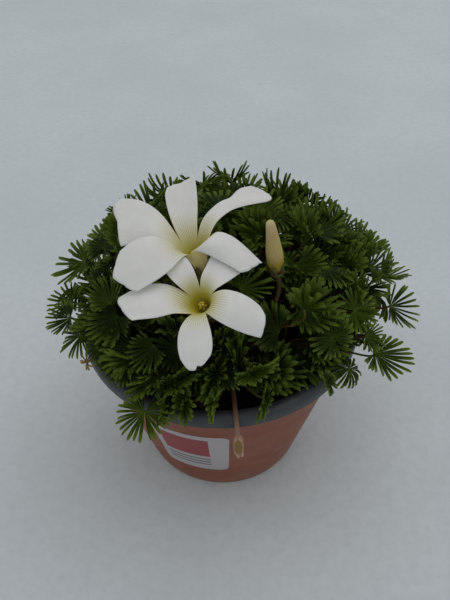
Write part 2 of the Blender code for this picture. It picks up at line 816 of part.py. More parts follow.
def petal_sectors(flower):
    """Each petal's bearings at the mouth: where it parts from the petal before and from the next."""
    bearings = [math.radians(bearing) for bearing in flower["sinuses"]]
    return list(zip(bearings, bearings[1:] + [bearings[0] + math.tau]))


def petal_point(frame, sector, petal, u, v):
    """A point of a petal, u from the funnel's mouth to its end and v from -1 to 1 across it."""
    throat, _, _, across, beside = frame
    along = u * (1 - PETAL_END_ROUNDING * v ** 4 * u)
    lines = []
    bearings = (sector[0], (sector[0] + sector[1]) / 2, sector[1])
    for bearing, middle, end in zip(bearings, petal[::2], petal[1::2]):
        start = throat + (across * math.cos(bearing) + beside * math.sin(bearing)) * TUBE_MOUTH_RADIUS
        middle, end = mm(middle), mm(end)
        lines.append(bezier((start, middle * 2 - (start + end) / 2, end), along))
    first, rib, second = lines
    return rib + (second - first) * (v / 2) + ((first + second) / 2 - rib) * (v * v)


def corolla_surface(flower, rows, columns, tube_rows):
    """Points and faces of a flower's thin surface: the funnel, which splits into petals at its mouth."""
    frame = flower_frame(flower)
    throat, calyx, axis, across, beside = frame
    petals = flower["petals"]
    sectors = petal_sectors(flower)
    around = columns * PETALS
    points, faces = [], []
    mouth = []
    for sector in sectors:
        for step in range(columns):
            bearing = sector[0] + (sector[1] - sector[0]) * step / columns
            mouth.append(throat + (across * math.cos(bearing) + beside * math.sin(bearing)) * TUBE_MOUTH_RADIUS)
    for row in range(tube_rows):
        share = row / tube_rows
        centre = calyx.lerp(throat, share)
        for spot in mouth:
            outward = spot - throat
            outward = (outward - axis * outward.dot(axis)).normalized()
            points.append(centre + outward * tube_radius(share))
    points += mouth
    for row in range(tube_rows):
        low = [row * around + i for i in range(around)]
        high = [i + around for i in low]
        faces += joined_rings(low, high)
    first_mouth = tube_rows * around
    for number, (sector, petal) in enumerate(zip(sectors, petals)):
        below = [first_mouth + (number * columns + i) % around for i in range(columns + 1)]
        for row in range(1, rows + 1):
            above = list(range(len(points), len(points) + columns + 1))
            for column in range(columns + 1):
                v = -1 + 2 * column / columns
                points.append(petal_point(frame, sector, petal, row / rows, v))
            for column in range(columns):
                quad = (below[column], below[column + 1], above[column + 1], above[column])
                faces += [quad[:3], (quad[0], quad[2], quad[3])]
            below = above
    return points, faces


def make_corolla(name, material):
    points, faces = corolla_surface(FLOWERS[name], PETAL_ROWS, PETAL_COLUMNS, TUBE_ROWS)
    corolla = mesh_object(name + "_petals", points, faces, material)
    shell = corolla.modifiers.new("thickness", "SOLIDIFY")
    shell.thickness = PETAL_THICKNESS
    shell.offset = 0
    keep_evaluated(corolla)
    shade_round(corolla, 60)
    return corolla


def stalk_route(name, top, axis):
    """From a flower's or bud's base down into its hole in the soil."""
    (x, y), bend = STALK_ROUTES[name]
    x, y = x * MM, y * MM
    ground = soil_height(x, y)
    places = [top, top - axis * 6 * MM, mm(bend), Vector((x, y, ground + 3 * MM))]
    return smooth_route(places, 2) + [Vector((x, y, ground - STALK_ROOT_DEPTH))]


def sepal_shape(base, axis, outward, start_radius, end_radius, length):
    """A narrow pointed sepal against the side of a tube."""
    across = axis.cross(outward)
    points = []
    for share, half_width in ((-0.1, 0.95 * MM), (0.55, 0.85 * MM), (1.0, 0.3 * MM)):
        radius = start_radius + (end_radius - start_radius) * max(0, share) ** 1.5
        centre = base + axis * (length * share) + outward * radius
        half_thick = LEAF_THICKNESS / 2
        for side, depth in ((-1, -1), (1, -1), (1, 1), (-1, 1)):
            points.append(centre + across * (side * half_width) + outward * (depth * half_thick))
    faces = [(0, 1, 2, 3), (8, 9, 10, 11)]
    faces += joined_rings([0, 1, 2, 3], [4, 5, 6, 7]) + joined_rings([4, 5, 6, 7], [8, 9, 10, 11])
    return points, faces


def make_calyx(name, base, axis, tube_reach, end_radius, length, material):
    """A stalk with its receptacle and five sepals, which clasp the tube above it."""
    route = stalk_route(name, base - axis * 1.6 * MM, axis)
    radii = [FLOWER_STALK_RADIUS] * len(route)
    points, faces = swept_solid(route, radii, FLOWER_STALK_SIDES)
    node_name = name + ("_calyx_stalk" if name != "bud" else "_stalk")
    node = mesh_object(node_name, points, faces, material)
    seat = ((0.7 * MM, -2.4 * MM), (tube_reach, -1.1 * MM), (tube_reach, -CLEARANCE))
    shapes = [turned(seat, CALYX_SIDES, axis, base)]
    across, beside = cross_axes(axis)
    for number in range(SEPALS):
        angle = math.tau * (number + 0.5) / SEPALS
        outward = across * math.cos(angle) + beside * math.sin(angle)
        start = tube_reach
        shapes.append(sepal_shape(base, axis, outward, start, end_radius, length))
    fuse(node, shapes)
    return node


def make_flower(name, materials):
    throat, calyx, axis, _, _ = flower_frame(FLOWERS[name])
    corolla = make_corolla(name, materials["petal"])
    beside_tube = PETAL_THICKNESS / 2 + CLEARANCE + LEAF_THICKNESS / 2
    reach = SEPAL_LENGTH / (throat - calyx).length
    start = TUBE_BASE_RADIUS + beside_tube
    end = tube_radius(reach) + beside_tube
    calyx_node = make_calyx(name, calyx, axis, start, end, SEPAL_LENGTH, materials["stalk"])
    length = (throat - calyx).length
    profile = (
        (0.55 * MM, 0),
        (0.6 * MM, length * 0.25),
        (0.95 * MM, length * 0.38),
        (1.1 * MM, length * 0.52),
        (0.7 * MM, length * 0.6),
    )
    points, faces = turned(profile, STAMEN_SIDES, axis, calyx)
    stamens = mesh_object(name + "_stamens", points, faces, materials["stamen"])
    shade_round(stamens, 60)
    return [corolla, calyx_node, stamens]


def make_bud(materials):
    base, tip = mm(BUD_BASE), mm(BUD_TIP)
    axis = (tip - base).normalized()
    length = (tip - base).length
    profile = [(radius * MM, share * length) for share, radius in BUD_OUTLINE]
    points, faces = turned(profile, BUD_SIDES, axis, base)
    petals = mesh_object("bud_petals", points, faces, materials["bud"])
    shade_round(petals, 60)
    beside_bud = CLEARANCE + LEAF_THICKNESS / 2
    start = 1.7 * MM + beside_bud
    end = 2.65 * MM + beside_bud
    stalk = make_calyx("bud", base, axis, start, end, BUD_SEPAL_LENGTH, materials["stalk"])
    return [petals, stalk]


def make_spent_flower(material):
    x, y = SPENT_ROOT[0] * MM, SPENT_ROOT[1] * MM
    ground = soil_height(x, y)
    places = [Vector((x, y, ground - STALK_ROOT_DEPTH)), Vector((x, y, ground + 3 * MM))]
    places += [mm(row[:3]) for row in SPENT_ROUTE]
    radii = [FLOWER_STALK_RADIUS] * 2 + [row[3] * MM for row in SPENT_ROUTE]
    points, faces = swept_solid(places, radii, SPENT_SIDES)
    spent = mesh_object("spent_flower", points, faces, material)
    shade_round(spent, 60)
    return spent


def root_list():
    """Every root in the soil: x, y, depth and the radius of its hole."""
    roots = []
    for x, y in crown_places():
        roots.append((x, y, CROWN_DEPTH, CROWN_RADIUS + CLEARANCE / math.cos(math.pi / CROWN_SIDES)))
    for x, y in [route[0] for route in STALK_ROUTES.values()] + [SPENT_ROOT]:
        roots.append((x * MM, y * MM, STALK_ROOT_DEPTH, FLOWER_STALK_RADIUS + 1.3 * CLEARANCE))
    for name in WITHERED_LEAVES:
        x, y = withered_leaf(name)[0]
        roots.append((x, y, CROWN_DEPTH, WITHERED_CROWN_RADIUS + 1.2 * CLEARANCE))
    return roots


def main():
    clear_scene()
    materials = {name: make_material(name) for name in COLOURS}
    standing = [make_pot(materials["pot"]), make_soil(materials["soil"], root_list())]
    for name in FLOWERS:
        standing += make_flower(name, materials)
    standing += make_bud(materials)
    standing.append(make_spent_flower(materials["withered"]))
    for name in WITHERED_LEAVES:
        standing.append(make_withered_leaf(name, materials["withered"]))
    graph = bpy.context.evaluated_depsgraph_get()
    obstacles = [BVHTree.FromObject(obj, graph) for obj in standing]
    leaves = grow_leaves(obstacles)
    make_tufts(leaves, materials["leaf"])
    print(len(leaves), "leaves")


main()
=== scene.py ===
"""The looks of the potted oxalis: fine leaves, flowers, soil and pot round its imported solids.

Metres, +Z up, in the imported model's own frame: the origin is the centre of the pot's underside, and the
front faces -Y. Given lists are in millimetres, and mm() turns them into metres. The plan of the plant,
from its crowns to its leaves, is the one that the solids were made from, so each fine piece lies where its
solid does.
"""

import json
import math
import random
from dataclasses import dataclass

import bmesh
import bpy
from mathutils import Matrix, Vector, noise
from mathutils.bvhtree import BVHTree

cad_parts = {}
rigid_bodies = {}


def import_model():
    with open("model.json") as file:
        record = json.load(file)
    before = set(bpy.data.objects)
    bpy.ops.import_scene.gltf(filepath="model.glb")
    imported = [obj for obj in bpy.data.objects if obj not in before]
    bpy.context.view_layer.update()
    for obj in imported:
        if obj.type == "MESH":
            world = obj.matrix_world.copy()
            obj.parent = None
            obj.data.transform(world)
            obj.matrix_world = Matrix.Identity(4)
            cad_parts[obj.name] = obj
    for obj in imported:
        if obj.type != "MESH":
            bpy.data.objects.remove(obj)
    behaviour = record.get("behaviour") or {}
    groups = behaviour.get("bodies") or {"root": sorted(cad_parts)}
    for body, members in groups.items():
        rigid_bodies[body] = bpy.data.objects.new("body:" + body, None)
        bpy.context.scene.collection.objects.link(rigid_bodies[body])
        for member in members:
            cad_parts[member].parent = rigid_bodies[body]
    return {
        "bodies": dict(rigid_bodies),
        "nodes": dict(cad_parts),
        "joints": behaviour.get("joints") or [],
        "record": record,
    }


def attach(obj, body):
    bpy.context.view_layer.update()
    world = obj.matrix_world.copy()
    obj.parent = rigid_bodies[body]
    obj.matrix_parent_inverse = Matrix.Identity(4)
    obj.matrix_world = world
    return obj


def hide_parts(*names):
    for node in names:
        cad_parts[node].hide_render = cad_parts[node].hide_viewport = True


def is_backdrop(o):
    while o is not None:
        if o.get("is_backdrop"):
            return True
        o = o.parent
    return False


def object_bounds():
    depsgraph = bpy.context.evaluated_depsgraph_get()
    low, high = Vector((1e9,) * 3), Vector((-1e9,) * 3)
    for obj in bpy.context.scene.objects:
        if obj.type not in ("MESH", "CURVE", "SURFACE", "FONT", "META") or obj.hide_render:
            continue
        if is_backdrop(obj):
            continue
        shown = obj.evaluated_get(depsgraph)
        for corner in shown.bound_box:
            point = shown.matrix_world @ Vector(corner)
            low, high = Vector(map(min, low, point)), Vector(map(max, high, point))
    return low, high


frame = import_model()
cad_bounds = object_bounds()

MM = 0.001
UP = Vector((0, 0, 1))
BODY = "root"
CLEARANCE = 0.35 * MM
NODES = frame["nodes"]

# The pot, as its solid has it.
POT_HEIGHT = 70.0 * MM
LIP_RADIUS = 52.5 * MM
LIP_WIDTH = 4.1 * MM
LIP_DROP = 5.2 * MM
LIP_CORNER = 2.2 * MM
WALL = 1.2 * MM
WALL_TOP_RADIUS = 49.4 * MM
BASE_RADIUS = 32.4 * MM
FLOOR_TOP = 3.7 * MM
FLOOR_RECESS = 2.4 * MM
FOOT_WIDTH = 3.2 * MM
CENTRE_PAD_RADIUS = 9.0 * MM
DRAIN_HOLES = 6
DRAIN_RADIUS = 2.4 * MM
DRAIN_RING_RADIUS = 19.0 * MM
DRAIN_TURN = math.radians(33)
DRAIN_SIDES = 24
FOOT_NOTCHES = 6
FOOT_NOTCH_WIDTH = 4.0 * MM
FOOT_NOTCH_HEIGHT = 1.3 * MM
POT_SIDES = 144

# The soil and the crowns in it.
SOIL_EDGE = 59.6 * MM
SOIL_CROWNING = 1.6 * MM
SOIL_SIDES, SOIL_RINGS = 120, 46
CRUMBS = 900
CROWN_COUNT = 21
CROWN_SPREAD = 37.5 * MM
CROWN_TURN, CROWN_SHIFT = 0.5, 2.0 * MM
CROWN_RADIUS = 2.3 * MM
CROWN_DEPTH = 6.0 * MM
CROWN_RISE = 3.4 * MM
CROWN_SIDES = 6
GOLDEN_ANGLE = math.radians(137.508)

# The plan of the leaves, with the plain leaf that finds each its place.
LEAFLETS = 10
LEAF_THICKNESS = 0.7 * MM
NOTCH_SHARE = 0.42
STALK_RADIUS = 0.75 * MM
STALK_STEPS = 3
STALK_SIDES = 3
LEAVES_PER_CROWN = 6
LOWEST_LEAF = SOIL_EDGE + 3.0 * MM
TRIES = 34
MOUND_CENTRE = Vector((4.0, 4.0, 66.0)) * MM
MOUND_RADII = Vector((56.0, 50.0, 44.0)) * MM
# Each shell: its share of the mound's size, its number of sites, the smallest and largest leaf. The sites
# wind round the mound, and each shell starts at a turn of its own.
SHELL_TURN = 3
SHELLS = ((1.0, 82, 8.8, 11.8), (0.8, 34, 8.0, 10.5), (0.6, 10, 7.0, 9.0))
LOW_LEAF_SHARE = 1.15
FACE_OUT, FACE_UP, FACE_TURN = 0.48, 0.62, 0.42
SITE_TURN = 0.06
LEAF_BENDS = (-48, -36, -26, -14, 16, 36, 60)
SEED = 41
# How far a leaf may move, tilt and shrink before it is given up, and where along the way out it leans from.
SETTLE_SHIFT, SETTLE_TILT, SETTLE_SHRINK = 3.5 * MM, 0.3, 0.22
CROWNS_TRIED = 3
LEAN_SHARE = 0.6

# A leaf's stalk: how many millimetres off its crown's middle it stands, how steeply and how far sideways it
# starts, and how it comes to the leaf: from behind, from the crown's side, and by what share of its length.
STALK_FOOT_OUT = 0.7
STALK_RISES, STALK_LEANS, STALK_SWAY = (0.32, 0.5), (0.0, 0.12), 0.08
STALK_BACK, STALK_INWARDS, STALK_REACHES = 0.8, (0.2, 0.7), (0.2, 0.34)

# Leaves placed one by one: centre x, y, z, radius, bend, and the bearing and rise of the way it faces.
PLACED_LEAVES = (
    (66.0, -9.0, 77.5, 9.4, -20, -42, 54),
    (58.0, -31.5, 75.0, 9.2, -14, -60, 76),
    (52.0, -26.5, 79.0, 6.6, -20, -40, 56),
    (-25.5, -54.5, 75.5, 9.2, 12, -95, 75),
    (21.5, -37.5, 75.0, 8.4, -18, -82, 64),
    (44.3, -36.5, 74.5, 7.6, 70, -50, 55),
    (31.0, -42.5, 74.5, 5.2, 95, -85, 40),
    (-12.0, -51.0, 76.0, 7.4, 82, -100, 55),
    (-2.0, -50.0, 75.0, 7.6, 95, -100, 50),
    (12.0, -50.5, 75.5, 7.8, 100, -78, 48),
    (-54.5, 8.5, 86.0, 10.0, -18, -160, 62),
    (-57.3, -3.0, 78.0, 8.0, -16, -155, 58),
    (-55.7, -11.0, 78.0, 7.8, -20, -150, 56),
    (-51.0, -20.0, 76.0, 7.8, 18, -140, 62),
    (-45.0, -26.0, 75.5, 6.4, 30, -130, 60),
    (-33.0, -36.0, 77.5, 7.0, 45, -120, 62),
    (-41.5, 20.0, 91.5, 9.8, -28, -165, 58),
    (-26.5, 31.0, 96.0, 10.6, -34, -110, 62),
    (59.0, 6.0, 85.0, 9.8, -22, -35, 52),
    (54.8, 19.0, 87.0, 9.2, -26, -20, 55),
    (57.0, -3.0, 77.0, 7.6, -24, -50, 46),
    (47.0, -28.0, 77.5, 9.0, 24, -60, 60),
    (-33.0, -32.0, 81.0, 9.6, -18, -120, 55),
    (-21.0, -42.0, 77.5, 9.0, 55, -100, 50),
    (-8.0, -43.5, 80.0, 8.6, 70, -110, 50),
    (0.5, -41.0, 85.0, 9.2, 60, -130, 45),
    (9.5, -43.5, 79.5, 8.6, 45, -130, 45),
    (36.0, -30.0, 82.5, 9.8, -22, -70, 60),
    (27.5, -36.0, 85.0, 9.0, 50, -60, 55),
    (-15.0, -34.5, 87.0, 9.8, 38, -100, 55),
    (8.0, -35.5, 89.0, 9.4, 45, -80, 55),
    (17.0, -31.5, 91.0, 9.6, -24, -70, 60),
    (-36.0, -24.5, 86.5, 10.2, -26, -135, 60),
)

# The flowers: a five-petalled funnel on a calyx, where two petals part at each bearing round its mouth.
# Each petal is drawn by three lines from the mouth: its first edge, its rib and its second edge,
# anticlockwise, each through a middle point to an end point.
FLOWERS = {
    "flower_upper": {
        "throat": (-8.0, -23.6, 122.2),
        "calyx": (-4.6, -26.1, 110.4),
        "sinuses": (5, 77, 148, 203, 252),
        "petals": (
            (
                (3.6, -17.1, 127.8), (14.3, -13.5, 128.7),
                (1.8, -14.3, 128.5), (16.4, -11.7, 129.1),
                (-0.4, -12.7, 127.3), (11.0, -8.3, 131.2),
            ),
            (
                (-6.2, -11.7, 127.6), (-7.0, -5.3, 133.0),
                (-11.3, -11.9, 126.7), (-11.5, -5.7, 131.1),
                (-15.9, -12.4, 127.6), (-15.7, -7.7, 130.4),
            ),
            (
                (-20.6, -13.8, 128.3), (-30.7, -11.6, 129.2),
                (-22.0, -19.2, 126.2), (-31.0, -17.9, 125.4),
                (-21.4, -24.8, 122.4), (-29.5, -24.5, 121.3),
            ),
            (
                (-21.7, -25.4, 125.3), (-29.8, -27.8, 121.5),
                (-20.6, -31.6, 122.5), (-30.9, -34.7, 117.7),
                (-14.8, -35.0, 119.5), (-24.1, -39.0, 115.5),
            ),
            (
                (-2.1, -30.9, 121.8), (6.5, -34.6, 117.9),
                (-0.2, -29.3, 125.0), (10.1, -32.8, 118.3),
                (3.7, -24.4, 124.3), (12.9, -30.1, 118.3),
            ),
        ),
    },
    "flower_lower": {
        "throat": (-6.7, -41.2, 113.9),
        "calyx": (-3.8, -37.4, 105.1),
        "sinuses": (299, 382, 443, 500, 602),
        "petals": (
            (
                (3.4, -49.0, 109.2), (11.6, -49.9, 106.1),
                (5.3, -45.2, 113.3), (13.3, -46.9, 109.3),
                (5.7, -40.1, 115.1), (12.8, -42.6, 110.9),
            ),
            (
                (2.2, -37.0, 116.2), (6.8, -33.4, 117.1),
                (-0.1, -33.5, 118.4), (4.5, -29.4, 119.9),
                (-3.7, -32.4, 119.2), (-0.9, -27.2, 121.5),
            ),
            (
                (-7.9, -32.5, 119.3), (-10.3, -29.4, 120.6),
                (-11.1, -33.4, 118.6), (-13.2, -29.6, 120.4),
                (-14.1, -35.7, 116.9), (-17.1, -31.5, 118.4),
            ),
            (
                (-20.2, -35.2, 114.8), (-30.0, -38.4, 112.3),
                (-19.3, -40.5, 113.9), (-29.1, -42.0, 111.6),
                (-16.6, -44.5, 111.8), (-26.1, -45.7, 110.5),
            ),
            (
                (-12.2, -51.0, 107.9), (-11.2, -56.0, 102.8),
                (-7.3, -52.3, 107.9), (-7.2, -58.1, 101.7),
                (-2.2, -51.7, 107.1), (-3.4, -55.5, 103.3),
            ),
        ),
    },
}
PETALS = 5
PETAL_END_ROUNDING = 0.03
TUBE_BASE_RADIUS = 1.5 * MM
TUBE_MOUTH_RADIUS = 5.2 * MM
FLOWER_STALK_RADIUS = 0.8 * MM
SEPALS = 5
SEPAL_LENGTH = 5.0 * MM
SEPAL_ROWS = 9
# Where each flower's stalk leaves the soil, and a point that it bends through.
STALK_ROUTES = {
    "flower_upper": ((-1.5, -16.5), (-3.6, -21.5, 92.0)),
    "flower_lower": ((-9.0, -23.0), (-6.0, -27.0, 88.0)),
    "bud": ((14.5, -17.0), (18.0, -24.0, 92.0)),
}
STALK_ROOT_DEPTH = 8.0 * MM

BUD_BASE = (18.5, -25.0, 110.4)
BUD_TIP = (15.7, -25.0, 129.8)
# The bud's outline: share of its length and radius in millimetres.
BUD_OUTLINE = ((0.0, 1.3), (0.1, 2.3), (0.28, 2.7), (0.6, 2.2), (0.85, 1.6), (0.97, 1.3), (1.0, 0.8))
BUD_SEPAL_LENGTH = 4.0 * MM
BUD_ROWS, BUD_SIDES, BUD_EDGES = 44, 60, 3

# The spent flower: from its root over the lip at the front and down, point and radius in millimetres.
SPENT_ROOT = (3.0, -31.0)
SPENT_ROUTE = (
    (3.4, -36.0, 70.0, 0.8),
    (3.9, -43.0, 72.6, 0.8),
    (4.4, -50.0, 72.2, 0.8),
    (4.8, -54.0, 69.4, 0.8),
    (5.0, -54.9, 65.0, 0.85),
    (5.2, -55.0, 62.6, 1.5),
    (5.4, -54.9, 58.5, 1.7),
    (5.6, -54.6, 54.4, 1.2),
    (5.9, -54.2, 50.4, 0.6),
)
# The husk is cut short and blunt. Its olive front: half its width as an angle, half its length as a share.
HUSK_RINGS_OFF = 4
HUSK_BLUNTING = 1.1 * MM
HUSK_SIDES = 24
HUSK_OVAL = (0.9, 0.36)

# Two dead leaves on their stalks: crown x, y, then centre x, y, z, radius, bend, bearing and rise.
WITHERED_LEAVES = {
    "withered_leaf_left": ((-33.0, -13.0), (-47.0, -29.5, 73.5, 3.6, 140, 215, 5)),
    "withered_leaf_right": ((36.5, 2.5), (50.5, 3.5, 76.0, 7.0, 140, -30, 8)),
}
WITHERED_CROWN_RADIUS, WITHERED_CROWN_SIDES = 1.3 * MM, 10
WITHERED_STALK_STEPS = 14
# Their leaflets: how many, how wide and how unevenly turned, and how far each curls, as shares of the bend.
WITHERED_LEAFLETS = 11
WITHERED_HALF_WIDTH = 0.13
WITHERED_ROLL = 0.5
WITHERED_CURLS = (-0.6, 0.7)

# The fine leaf: narrow leaflets, each folded along its middle, that fan out from a hub near the stalk's side.
FEWEST_LEAFLETS, MOST_LEAFLETS = 18, 24
LEAFLET_ROWS = (0.05, 0.2, 0.38, 0.56, 0.74, 0.88, 0.96, 1.0)
LEAFLET_HALF_WIDTHS = (0.06, 0.079)
LEAFLET_OVERLAP = 1.15
LEAFLET_TIP_START = 0.86
LEAFLET_KEEL = 0.22 * MM
LEAFLET_FOLD = math.radians(32)
LEAFLET_ROLL = 0.22
LEAFLET_SWAY = 0.035
LEAFLET_LIFT = 0.08
HUB_OFFSETS = (0.3, 0.6)
FAN_GAPS = (1.3, 2.6)
# A leaf that bends up is open by this share of those, and its leaflets reach by these shares to its rim.
UPTURNED_OPENNESS = 0.4
LEAFLET_REACHES = (0.92, 1.03)
HUB_RADIUS, HUB_SIDES = 0.55 * MM, 8
FINE_CROWN_SIDES = 12
FINE_STALK_RADIUS = 0.45 * MM
FINE_STALK_STEPS = 12
FINE_STALK_SIDES = 6
# A leaf folded more than this has wider leaflets, with so many times the hairs.
HALF_CLOSED = math.radians(55)
CLOSED_WIDENING, CLOSED_HAIRS = 1.5, 3
HAIR_LENGTH = 0.5 * MM
HAIR_WIDTH = 0.035 * MM
HAIRS_PER_LEAFLET = 3
HAIRS_PER_STALK = 22
HAIRS_PER_FLOWER_STALK = 160
# A short way along a blade, which shows its slope.
NEAR_STEP = 0.1 * MM

# The leaves between and below those of the solids: each shell as before, and their forms, bend and fold.
INNER_SHELLS = (
    (1.03, 70, 8.0, 10.0),
    (0.93, 74, 7.5, 10.0),
    (0.82, 62, 7.5, 10.0),
    (0.68, 46, 7.0, 9.5),
    (0.5, 20, 6.0, 8.0),
)
INNER_FORMS = ((-65, 0), (-50, 20), (-35, 30), (-20, 0), (30, 25), (80, 0), (-35, 45), (-15, 65), (20, 50))
# The placed leaves that are drawn half-closed: their bend, and for each number the fold and its line's turn.
CLOSED_BEND = 20
PLACED_FOLDS = {6: (62, -20), 7: (62, 62), 8: (76, -39), 9: (76, -34)}
# More half-closed leaves at the front: as the placed leaves, then the fold and the turn of its line.
FOLDED_LEAVES = (
    (5.0, -40.5, 87.5, 9.8, -10, -80, 35, 72, 8),
    (-2.0, -45.0, 82.0, 9.8, 10, -95, 45, 70, 75),
    (-31.0, -35.0, 82.0, 8.0, -10, -110, 30, 68, 40),
    (-24.0, -43.0, 78.5, 8.4, -10, -100, 40, 70, 60),
    (17.0, -40.0, 83.0, 8.8, -15, -60, 35, 70, -30),
    (-14.0, -44.0, 81.0, 8.8, -25, -90, 45, 68, -40),
)
# The leaves between these are half-closed too, and this share of them is left out.
FRONT_EDGE, FRONT_SIDES = -22.0 * MM, (-34.0 * MM, 24.0 * MM)
FRONT_FORMS = ((-15, 65), (-30, 72), (15, 70))
FRONT_LEFT_OUT = 0.5
INNER_SPACING = 6.5 * MM
INNER_SHIFT = 5 * MM
INNER_TURN = 0.55
# The places on a blade, as spokes and shares of the radius, that have to be clear of what stands.
TESTED_SPOKES = 20
TESTED_SHARES = (0, 0.5, 1.0, 1.15)
INNER_LEAVES_PER_CROWN = 24
INNER_GROUPS = 7
# Painted shade darkens the leaves inside this radius and below this height, from where it starts to where it
# is full.
SHADE_RADII, SHADE_HEIGHTS = (50 * MM, 43 * MM), (104 * MM, 84 * MM)

# The petals, bud and the rest of the flowers.
FINE_PETAL_ROWS = 30
FINE_PETAL_COLUMNS = 28
FINE_TUBE_ROWS = 12
# The funnel's wall flares into the petals from this share of its length to this share of a petal's.
FLARE_START, FLARE_END = 0.66, 0.3
FINE_PETAL_THICKNESS = 0.26 * MM
RUFFLE = 0.45 * MM
FLOWER_STALK_SIDES, CUP_SIDES, KNOB_SIDES, BALL_SIDES = 10, 16, 12, 8
THREAD_STEPS, THREAD_SIDES = 8, 6
FILAMENT_RADIUS, STYLE_RADIUS = 0.13 * MM, 0.15 * MM
# The short and the tall stamens, and the styles: how far up the funnel they reach, and how far they spread.
# The styles' spread is in millimetres.
STAMEN_REACHES, STAMEN_SPREADS = (0.42, 0.54), (0.95 * MM, 0.7 * MM)
STYLE_REACH, STYLE_SPREAD = 0.6, 0.45
ANTHER_RADIUS, ANTHER_LENGTH = 0.42 * MM, 1.15 * MM
STIGMA_RADIUS, STIGMA_LENGTH = 0.3 * MM, 0.5 * MM
# How far each petal's end reaches past its plan in millimetres, from its first edge at -1 to its second at 1.
END_START = 0.78
END_SHAPES = {
    ("flower_upper", 0): ((-1, 0.3), (-0.3, 0.4), (0.1, 0.6), (1, 0.8)),
    ("flower_upper", 1): (
        (-1, 0.8), (-0.93, 0.9), (-0.86, 6.4), (-0.78, 5.6), (-0.71, 0.6), (0, 0), (1, 0.8),
    ),
    ("flower_upper", 2): ((-1, 0.9), (-0.55, 1.7), (0, 0.0), (0.5, 0.2), (1, 0.9)),
    ("flower_upper", 3): ((-1, 0.6), (-0.5, -0.4), (0, 0.9), (0.5, -0.2), (1, 1.0)),
    ("flower_upper", 4): ((-1, 0.9), (0, 0.0), (0.8, 0.4), (1, 1.4)),
    ("flower_lower", 0): ((-1, 1.0), (-0.5, 0.3), (0.5, 0.3), (1, -0.4)),
    ("flower_lower", 3): ((-1, 1.0), (0, 0.2), (1, 0.6)),
    ("flower_lower", 4): (
        (-1, 0.1), (-0.6, 0.9), (0, 0.3), (0.14, -0.9), (0.4, -0.2), (0.7, 0.0), (1, -0.4),
    ),
}
PLAIN_END = ((-1, 0), (1, 0))
# Where a petal's edge swells past its plan: the edge, the place along it, the reach as shares, and the size.
EDGE_SWELLS = {
    ("flower_upper", 0): ((1, 0.7, 0.09, -0.9), (1, 0.9, 0.08, 0.7)),
    ("flower_lower", 3): ((1, 0.68, 0.34, 1.6),),
}

# The panel on the pot's front: its bearing from the front, leftwards, and its heights.
LABEL_START, LABEL_END = math.radians(3), math.radians(-36)
LABEL_BOTTOM, LABEL_TOP = 17.0 * MM, 50.0 * MM
LABEL_CORNER = 3.0 * MM
LABEL_PROUD = 0.12 * MM
LABEL_COLUMNS, LABEL_ROWS = 60, 40

# The camera: where it looks, from how far and how steeply, its roll and its lens.
CAMERA_TARGET = (1.8, 0.0, 74.5)
CAMERA_DISTANCE = 265 * MM
CAMERA_ELEVATION = math.radians(43.2)
CAMERA_ROLL = math.radians(1.19)
CAMERA_LENS, CAMERA_SENSOR = 42.0, 36.0

# The light and the ground, in metres.
SKY_COLOUR, SKY_STRENGTH = (0.93, 0.97, 1.0), 0.5
KEY_PLACE, KEY_TARGET = (0.25, 0.3, 1.3), (0, 0, 0.06)
KEY_SIZE, KEY_POWER, KEY_COLOUR = 1.5, 3.4, (1.0, 0.99, 0.97)
FLOOR_HALF, FLOOR_HEIGHT = 1.6, -0.05 * MM

# The sockets of a mix node that take and give colours, and a mark for points whose material reads none.
MIX_A, MIX_B, MIX_COLOUR = 6, 7, 2
NO_MARK = (0.0, 0.0, 0.0)
# The angle in degrees past which an edge is drawn sharp.
POT_EDGES, LEAF_EDGES, SOIL_EDGES, SOFT_EDGES = 30, 40, 50, 60
# The numbers of the materials in a piece of leaves, and in a flower's stamens.
BLADE, STALK, HAIR, CROWN = range(4)
FILAMENT, ANTHER, STIGMA = range(3)


@dataclass
class Leaf:
    """A leaf: its blade's centre, the way it faces and its form, and the crown and curve of its stalk.

    The blade bends by an angle from its centre to its rim. It may also be folded along a line, and turn tells
    how far that line is turned from the stalk's foot.
    """

    centre: Vector
    facing: Vector
    radius: float
    bend: float
    spin: float
    crown: int
    stalk: tuple
    fold: float = 0.0
    turn: float = 0.0


def mm(values):
    return Vector(values) * MM


def joined_rings(low, high):
    """Faces between two rings of points, where either may be a single point."""
    count = max(len(low), len(high))
    faces = []
    for side in range(count):
        corners = [
            low[side % len(low)],
            low[(side + 1) % len(low)],
            high[(side + 1) % len(high)],
            high[side % len(high)],
        ]
        faces.append(tuple(dict.fromkeys(corners)))
    return faces


def spoke(axes, angle):
    """The direction at an angle from the first of two axes towards the second."""
    return axes[0] * math.cos(angle) + axes[1] * math.sin(angle)


def turned(profile, sides, axis=UP, origin=Vector()):
    """Points and faces of a closed turned shape. The profile's radii and heights run from end to end."""
    axes = cross_axes(axis)
    points, faces, rings = [], [], []
    for radius, height in profile:
        first = len(points)
        for side in range(sides if radius > 0 else 1):
            points.append(origin + axis * height + spoke(axes, math.tau * side / sides) * radius)
        rings.append(list(range(first, len(points))))
    for low, high in zip(rings, rings[1:]):
        faces += joined_rings(low, high)
    faces += [tuple(ring) for ring in (rings[0], rings[-1]) if len(ring) > 1]
    return points, faces


def cross_axes(axis):
    """Two directions square to an axis and to each other, the first as near +X as it can be."""
    guide = Vector((1, 0, 0)) if abs(axis.x) < 0.9 else Vector((0, 1, 0))
    across = (guide - axis * guide.dot(axis)).normalized()
    return across, axis.cross(across)


def bezier(control, t):
    """A point on the Bezier curve of any number of control points."""
    points = [Vector(p) for p in control]
    while len(points) > 1:
        points = [a.lerp(b, t) for a, b in zip(points, points[1:])]
    return points[0]


